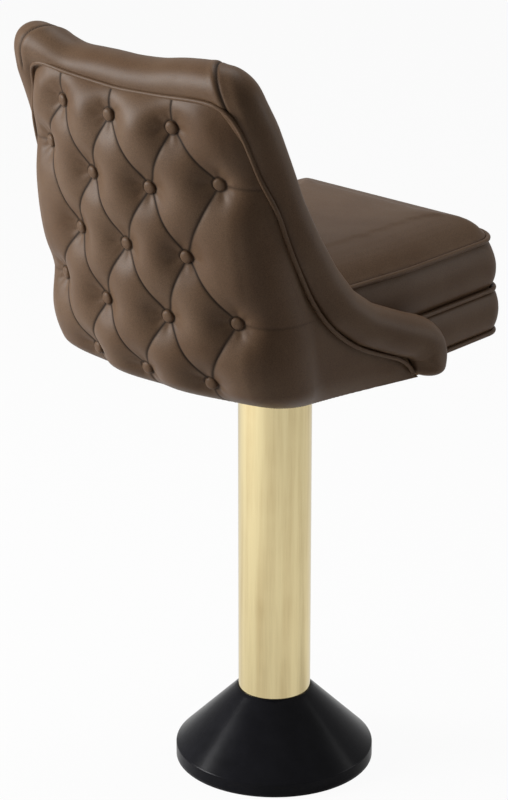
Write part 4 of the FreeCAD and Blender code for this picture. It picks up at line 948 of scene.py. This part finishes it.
# Seat: plan of six rounded corners, box cushion, band and three welts
seat = {
    "halfWidth": 0.183, "front": 0.266, "corner": 0.030, "topCorner": 0.050, "backHalfWidth": 0.160,
    "back": 0.182, "backCorner": 0.062, "armStart": 0.060, "armRadius": 0.150, "around": 320,
    "middle": (0.0, -0.042), "bottomUp": 0.0030, "deckUp": 0.063, "middleUp": 0.065, "topUp": 0.137,
    "welt": 0.0035,
}
cushion = {
    "crown": 0.037, "crownReach": 0.025, "bulge": 0.0060, "bulgeStart": -0.0022, "lift": 0.0006, "boxing": 15,
    "boxingFrom": 0.009, "boxingLess": 0.016, "topRise": 0.0058, "topIn": 0.004, "heldNear": 0.005,
}
band = {
    "bulge": 0.0070, "bulgeStart": -0.0006, "inner": -0.0026, "clear": 0.0002, "overlap": 0.0016,
    "steps": 260, "outerRows": 16, "innerRows": 4, "end": 0.008,
}


def seatPlan(count, frontCorner):
    # six corners, each an arc that touches both its sides, spaced evenly; and the outward directions
    half, back = seat["halfWidth"], seat["backHalfWidth"]
    corners = [(half, -seat["front"], frontCorner), (half, -seat["armStart"], seat["armRadius"]),
               (back, seat["back"], seat["backCorner"]), (-back, seat["back"], seat["backCorner"]),
               (-half, -seat["armStart"], seat["armRadius"]), (-half, -seat["front"], frontCorner)]
    spots = np.array([corner[:2] for corner in corners])
    line = []
    for index, (x, y, radius) in enumerate(corners):
        before = unit(spots[index - 1] - spots[index])
        after = unit(spots[(index + 1) % 6] - spots[index])
        halfTurn = math.acos(float(np.clip(before @ after, -1, 1))) / 2
        centre = spots[index] + unit(before + after) * radius / math.sin(halfTurn)
        start = spots[index] + before * radius / math.tan(halfTurn) - centre
        end = spots[index] + after * radius / math.tan(halfTurn) - centre
        sweep = math.atan2(start[0] * end[1] - start[1] * end[0], start @ end)
        angle = math.atan2(start[1], start[0]) + sweep * np.linspace(0, 1, 30)
        line.append(centre + radius * np.stack([np.cos(angle), np.sin(angle)], 1))
    plan = evenLine(np.vstack(line), count, closed=True)
    along = unit(np.roll(plan, -1, 0) - np.roll(plan, 1, 0))
    return plan, np.stack([along[:, 1], -along[:, 0]], 1)


lowPlan, planOut = seatPlan(seat["around"], seat["corner"])
topPlan = seatPlan(seat["around"], seat["topCorner"])[0]


def planLoop(up, grow, shrink=1.0):
    # plan of that height moved outward by grow, then drawn in towards its middle by the shrink factor
    middle = np.array(seat["middle"])
    share = min(max((up - seat["middleUp"]) / (seat["topUp"] - seat["middleUp"]), 0.0), 1.0) ** 2
    plan = lowPlan + (topPlan - lowPlan) * share
    flat = middle + (plan + planOut * grow - middle) * shrink
    return np.column_stack([flat, np.full(len(flat), boardUnderside + up)])


def makeCushion():
    # rows from the middle of the underside, out and up the boxing, then in over the crowned top
    top, low, inset = seat["topUp"], seat["deckUp"], -2 * seat["welt"]
    topRise, topIn = top + cushion["topRise"], inset - cushion["topIn"]
    rows = [(low + cushion["lift"], inset, share) for share in (0.0, 0.25, 0.5, 0.75, 0.95, 1.0)]
    rows += [(low + 0.006, inset + 0.0005, 1.0)]
    for share in np.linspace(0.0, 1.0, cushion["boxing"]):
        grow = cushion["bulge"] * math.sin(math.pi * share) ** 0.8 + cushion["bulgeStart"]
        rows.append((low + cushion["boxingFrom"] + share * (top - low - cushion["boxingLess"]), grow, 1.0))
    rows += [(top - 0.003, inset, 1.0), (top + 0.0035, inset, 1.0), (topRise, topIn, 1.0)]
    crownShares = (0.965, 0.93, 0.88, 0.82, 0.74, 0.65, 0.54, 0.42, 0.30, 0.18, 0.08, 0.0)
    rows += [(topRise, topIn, share) for share in crownShares]
    points = np.stack([planLoop(up, grow, shrink) for up, grow, shrink in rows])
    # crown: the top rises by 1 - exp(-distance / reach) of the way in from the edge
    loop = planLoop(top, topIn)[:, :2]
    for row in points[-len(crownShares):]:
        away = np.sqrt(((row[:, None, :2] - loop[None]) ** 2).sum(-1)).min(1)
        row[:, 2] += (cushion["crown"] - cushion["topRise"]) * (1 - np.exp(-away / cushion["crownReach"]))
    faces = [gridQuads(len(rows), seat["around"], wrapColumns=True)]
    piece = makeLeatherPiece("seatCushion", "seat_cushion", points.reshape(-1, 3), faces)
    def held(points):
        up = points[:, 2] - boardUnderside
        return (np.abs(up - top) < cushion["heldNear"]) | (up < seat["middleUp"] + cushion["heldNear"])
    simulatePad(piece, held)


def bandLine(grow, count):
    # open line round the front of the seat, from the right arm to the left one
    half, corner, front = seat["halfWidth"] + grow, seat["corner"] + grow, -seat["front"] - grow
    turn = np.linspace(0, np.pi / 2, 24)
    right = np.stack([half - corner + corner * np.cos(turn), front + corner - corner * np.sin(turn)], 1)
    right = np.vstack([[half, band["end"]], right])
    left = right[::-1] * np.array([-1.0, 1.0])
    return evenLine(np.vstack([right, left]), count)


def makeBand():
    # strip along the line, bulging by a power of the sine over its height, closed behind
    count, low = band["steps"], seat["bottomUp"] + seat["welt"] + band["clear"]
    high = seat["deckUp"] - seat["welt"] + band["overlap"]
    rows = [(share, band["bulge"] * math.sin(math.pi * share) ** 0.7 + band["bulgeStart"])
            for share in np.linspace(0, 1, band["outerRows"])]
    rows += [(share, band["inner"]) for share in np.linspace(1, 0, band["innerRows"])]
    grid = np.stack([np.column_stack([bandLine(grow, count),
                                      np.full(count, boardUnderside + low + (high - low) * share)])
                     for share, grow in rows])
    size = len(rows) * count
    firstEnd = np.arange(len(rows)) * count
    points = np.vstack([grid.reshape(-1, 3), grid[:, 0].mean(0)[None], grid[:, -1].mean(0)[None]])
    faces = [gridQuads(len(rows), count, wrapRows=True), fanTriangles(firstEnd, size),
             fanTriangles(firstEnd + count - 1, size + 1)]
    makeLeatherPiece("seatBand", "seat_band", points, faces)


def makeSeatWelts():
    # two closed cords round the cushion, sunk by a share of their radius, and an open one under the band
    outward = np.column_stack([planOut, np.zeros(len(planOut))])
    for name, node, up, sunk in (("topWelt", "top_welt", seat["topUp"], 1.0),
                                 ("middleWelt", "middle_welt", seat["middleUp"], 0.3)):
        cord(name, node, planLoop(up, -sunk * seat["welt"]), outward, seat["welt"], closed=True)
    line = bandLine(0.0002, 300)
    path = np.column_stack([line, np.full(len(line), boardUnderside + seat["bottomUp"])])
    along = unit(np.gradient(line, axis=0))
    outward = np.column_stack([along[:, 1], -along[:, 0], np.zeros(len(line))])
    cord("bottomWelt", "bottom_welt", path, outward, seat["welt"])


makeCushion()
makeBand()
makeSeatWelts()
print("stool: seat ready")


# Column face and base cover, turned finely because they are mirror bright
column = {"radius": 0.0508, "wall": 0.0015, "bottom": 0.010, "top": 0.596, "lip": 0.0006, "inset": 0.02}
cover = {"radius": 0.1397, "rimUp": 0.020, "topUp": 0.107, "wall": 0.0016, "clear": 0.0003, "edge": 0.003}
turnSteps = 192


def arcPoints(centre, radius, start, end, count):
    # (radius, height) points on an arc, its angles in degrees from outward to up
    turn = np.radians(np.linspace(start, end, count))
    return [(centre[0] + radius * math.cos(t), centre[1] + radius * math.sin(t)) for t in turn]


def makeColumnFace():
    # thin tube with a rounded upper lip
    outer, inner, lip = column["radius"], column["radius"] - column["wall"], column["lip"]
    low, high = column["bottom"], column["top"]
    profile = [(inner, low), (outer, low)]
    profile += [(outer, height) for height in np.linspace(low + column["inset"], high - column["inset"], 12)]
    profile += arcPoints((outer - lip, high - lip), lip, 0, 90, 4)
    profile += [(inner, high)]
    spun("columnFace", "column_sleeve", np.array(profile), turnSteps, brass)


def makeCover():
    # upright rim, a rounded edge, then a straight cone up to a collar round the column, of even wall
    rim, wall, edge = cover["radius"], cover["wall"], cover["edge"]
    collar = column["radius"] + cover["clear"]
    slope = math.degrees(math.atan2(cover["topUp"] - cover["rimUp"], rim - collar - wall))
    profile = [(rim - wall, 0.0), (rim, 0.0)]
    profile += [(rim, height) for height in np.linspace(0.004, cover["rimUp"] - edge, 4)]
    profile += arcPoints((rim - edge, cover["rimUp"] - edge + 0.0008), edge, 0, 90 - slope * 0.9, 7)
    start = np.array(profile[-1])
    end = np.array([collar + wall, cover["topUp"] - 0.0004])
    profile += [tuple(start + (end - start) * share) for share in np.linspace(0.02, 1, 24)]
    profile += [(collar + wall * 0.5, cover["topUp"]), (collar, cover["topUp"])]
    profile += [(collar, cover["topUp"] - wall * 2), (rim - wall, cover["rimUp"] - wall * 0.5)]
    spun("baseCover", "base_cover", np.array(profile), turnSteps, glossBlack)


makeColumnFace()
makeCover()

# Pieces that keep the shape of their solids
finishes = {
    blackSteel: ("floor_flange", "column_tube", "seat_mounting_plate"),
    bareSteel: ("bearing_housing", "bearing_outer_race", "bearing_inner_race", "bearing_balls",
                "swivel_spindle", "retaining_clip"),
    bronze: ("lower_bush", "thrust_washer"),
    zincSteel: ("plate_screws", "tee_nuts", "shell_screws"),
    plywood: ("seat_board", "seat_deck", "bucket_shell"),
    timber: ("seat_rails",),
    liningCloth: ("dust_cover",),
}
for material, names in finishes.items():
    for name in names:
        nodes[name].data.materials.clear()
        nodes[name].data.materials.append(material)
print("stool: hard pieces finished")


# Floor, lights and camera
floorLook = {
    "half": 6.0, "level": -0.0005, "colour": (0.72, 0.72, 0.72, 1), "roughness": 0.9, "ownWhite": 0.95,
    "mirroredWhite": 0.35,
}
worldLook = {"dim": 0.10, "ownWhite": 1.0, "mirroredWhite": 0.55}
camera = {
    "azimuth": 221.6, "turn": 0.43, "down": 20.92, "away": 3.834, "height": 2.003, "lens": 135.0,
    "sensor": 36.0, "farthest": 60.0,
}
lamps = {  # place, point aimed at, watts, width and height
    "leftSoftbox": ((2.3, 2.35, 1.55), (0.0, 0.1, 0.75), 140.0, 1.5, 1.5),
    "frontFill": ((-2.2, -2.4, 1.3), (0.0, -0.1, 0.7), 16.0, 1.2, 1.6),
    "topSoftbox": ((0.3, -0.4, 3.0), (0.0, -0.05, 0.8), 27.0, 1.3, 1.3),
}


def whiteShare(tree, look):
    # how much pure white is seen: one share by the camera, another in mirrored and refracted rays
    rays = addNode(tree, "LightPath")
    direct = mathNode(tree, "MULTIPLY", rays.outputs["Is Camera Ray"], look["ownWhite"])
    mirrored = mathNode(tree, "MAXIMUM", rays.outputs["Is Glossy Ray"], rays.outputs["Is Transmission Ray"])
    mirrored = mathNode(tree, "MULTIPLY", mirrored, look["mirroredWhite"])
    return mathNode(tree, "MAXIMUM", direct, mirrored)


def mixShaders(tree, share, first, second, surface):
    # first + share * (second - first)
    mix = addNode(tree, "MixShader")
    tree.links.new(share, mix.inputs["Fac"])
    tree.links.new(first, mix.inputs[1])
    tree.links.new(second, mix.inputs[2])
    tree.links.new(mix.outputs["Shader"], surface)


def makeFloor():
    # matt pale square with a white glow
    half, level = floorLook["half"], floorLook["level"]
    mesh = bpy.data.meshes.new("floor")
    corners = [(-half, -half, level), (half, -half, level), (half, half, level), (-half, half, level)]
    mesh.from_pydata(corners, [], [(0, 1, 2, 3)])
    floor = bpy.data.objects.new("floor", mesh)
    bpy.context.scene.collection.objects.link(floor)
    material = bpy.data.materials.new("paleFloor")
    material.use_nodes = True
    tree = material.node_tree
    shader = tree.nodes["Principled BSDF"]
    shader.inputs["Base Color"].default_value = floorLook["colour"]
    shader.inputs["Roughness"].default_value = floorLook["roughness"]
    shader.inputs["Specular IOR Level"].default_value = 0.0
    glow = addNode(tree, "Emission", Color=(1, 1, 1, 1), Strength=1.0)
    mixShaders(tree, whiteShare(tree, floorLook), shader.outputs["BSDF"], glow.outputs["Emission"],
               tree.nodes["Material Output"].inputs["Surface"])
    mesh.materials.append(material)


def makeWorld():
    # dim light all round that the camera sees as white
    world = bpy.data.worlds.new("studio")
    bpy.context.scene.world = world
    world.use_nodes = True
    tree = world.node_tree
    for node in list(tree.nodes):
        tree.nodes.remove(node)
    dim = addNode(tree, "Background", Color=(1, 1, 1, 1), Strength=worldLook["dim"])
    white = addNode(tree, "Background", Color=(1, 1, 1, 1), Strength=1.0)
    out = tree.nodes.new("ShaderNodeOutputWorld")
    mixShaders(tree, whiteShare(tree, worldLook), dim.outputs[0], white.outputs[0], out.inputs["Surface"])


def placeHolder(name, data, spot, forward):
    # lamp or camera that looks along forward
    holder = bpy.data.objects.new(name, data)
    holder.location = spot
    holder.rotation_mode = "QUATERNION"
    holder.rotation_quaternion = forward.to_track_quat("-Z", "Y")
    bpy.context.scene.collection.objects.link(holder)
    return holder


def addLamp(name, spot, target, power, wide, high):
    # rectangle aimed at the target
    lamp = bpy.data.lights.new(name, "AREA")
    lamp.shape = "RECTANGLE"
    lamp.size = wide
    lamp.size_y = high
    lamp.energy = power
    placeHolder(name, lamp, spot, Vector(target) - Vector(spot))


def makeCamera():
    # on a circle round the column, its look turned a little from the column and down
    lensData = bpy.data.cameras.new("photoCamera")
    lensData.lens = camera["lens"]
    lensData.sensor_width = camera["sensor"]
    lensData.clip_end = camera["farthest"]
    heading = math.radians(camera["azimuth"])
    look = math.radians(camera["azimuth"] + camera["turn"])
    down = math.radians(camera["down"])
    spot = (camera["away"] * math.sin(heading), -camera["away"] * math.cos(heading), camera["height"])
    forward = Vector((-math.sin(look) * math.cos(down), math.cos(look) * math.cos(down), -math.sin(down)))
    bpy.context.scene.camera = placeHolder("photoCamera", lensData, spot, forward)


makeFloor()
makeWorld()
for name, values in lamps.items():
    addLamp(name, *values)
makeCamera()

view = bpy.context.scene.view_settings
view.view_transform = "Standard"
print("stool: stage ready")
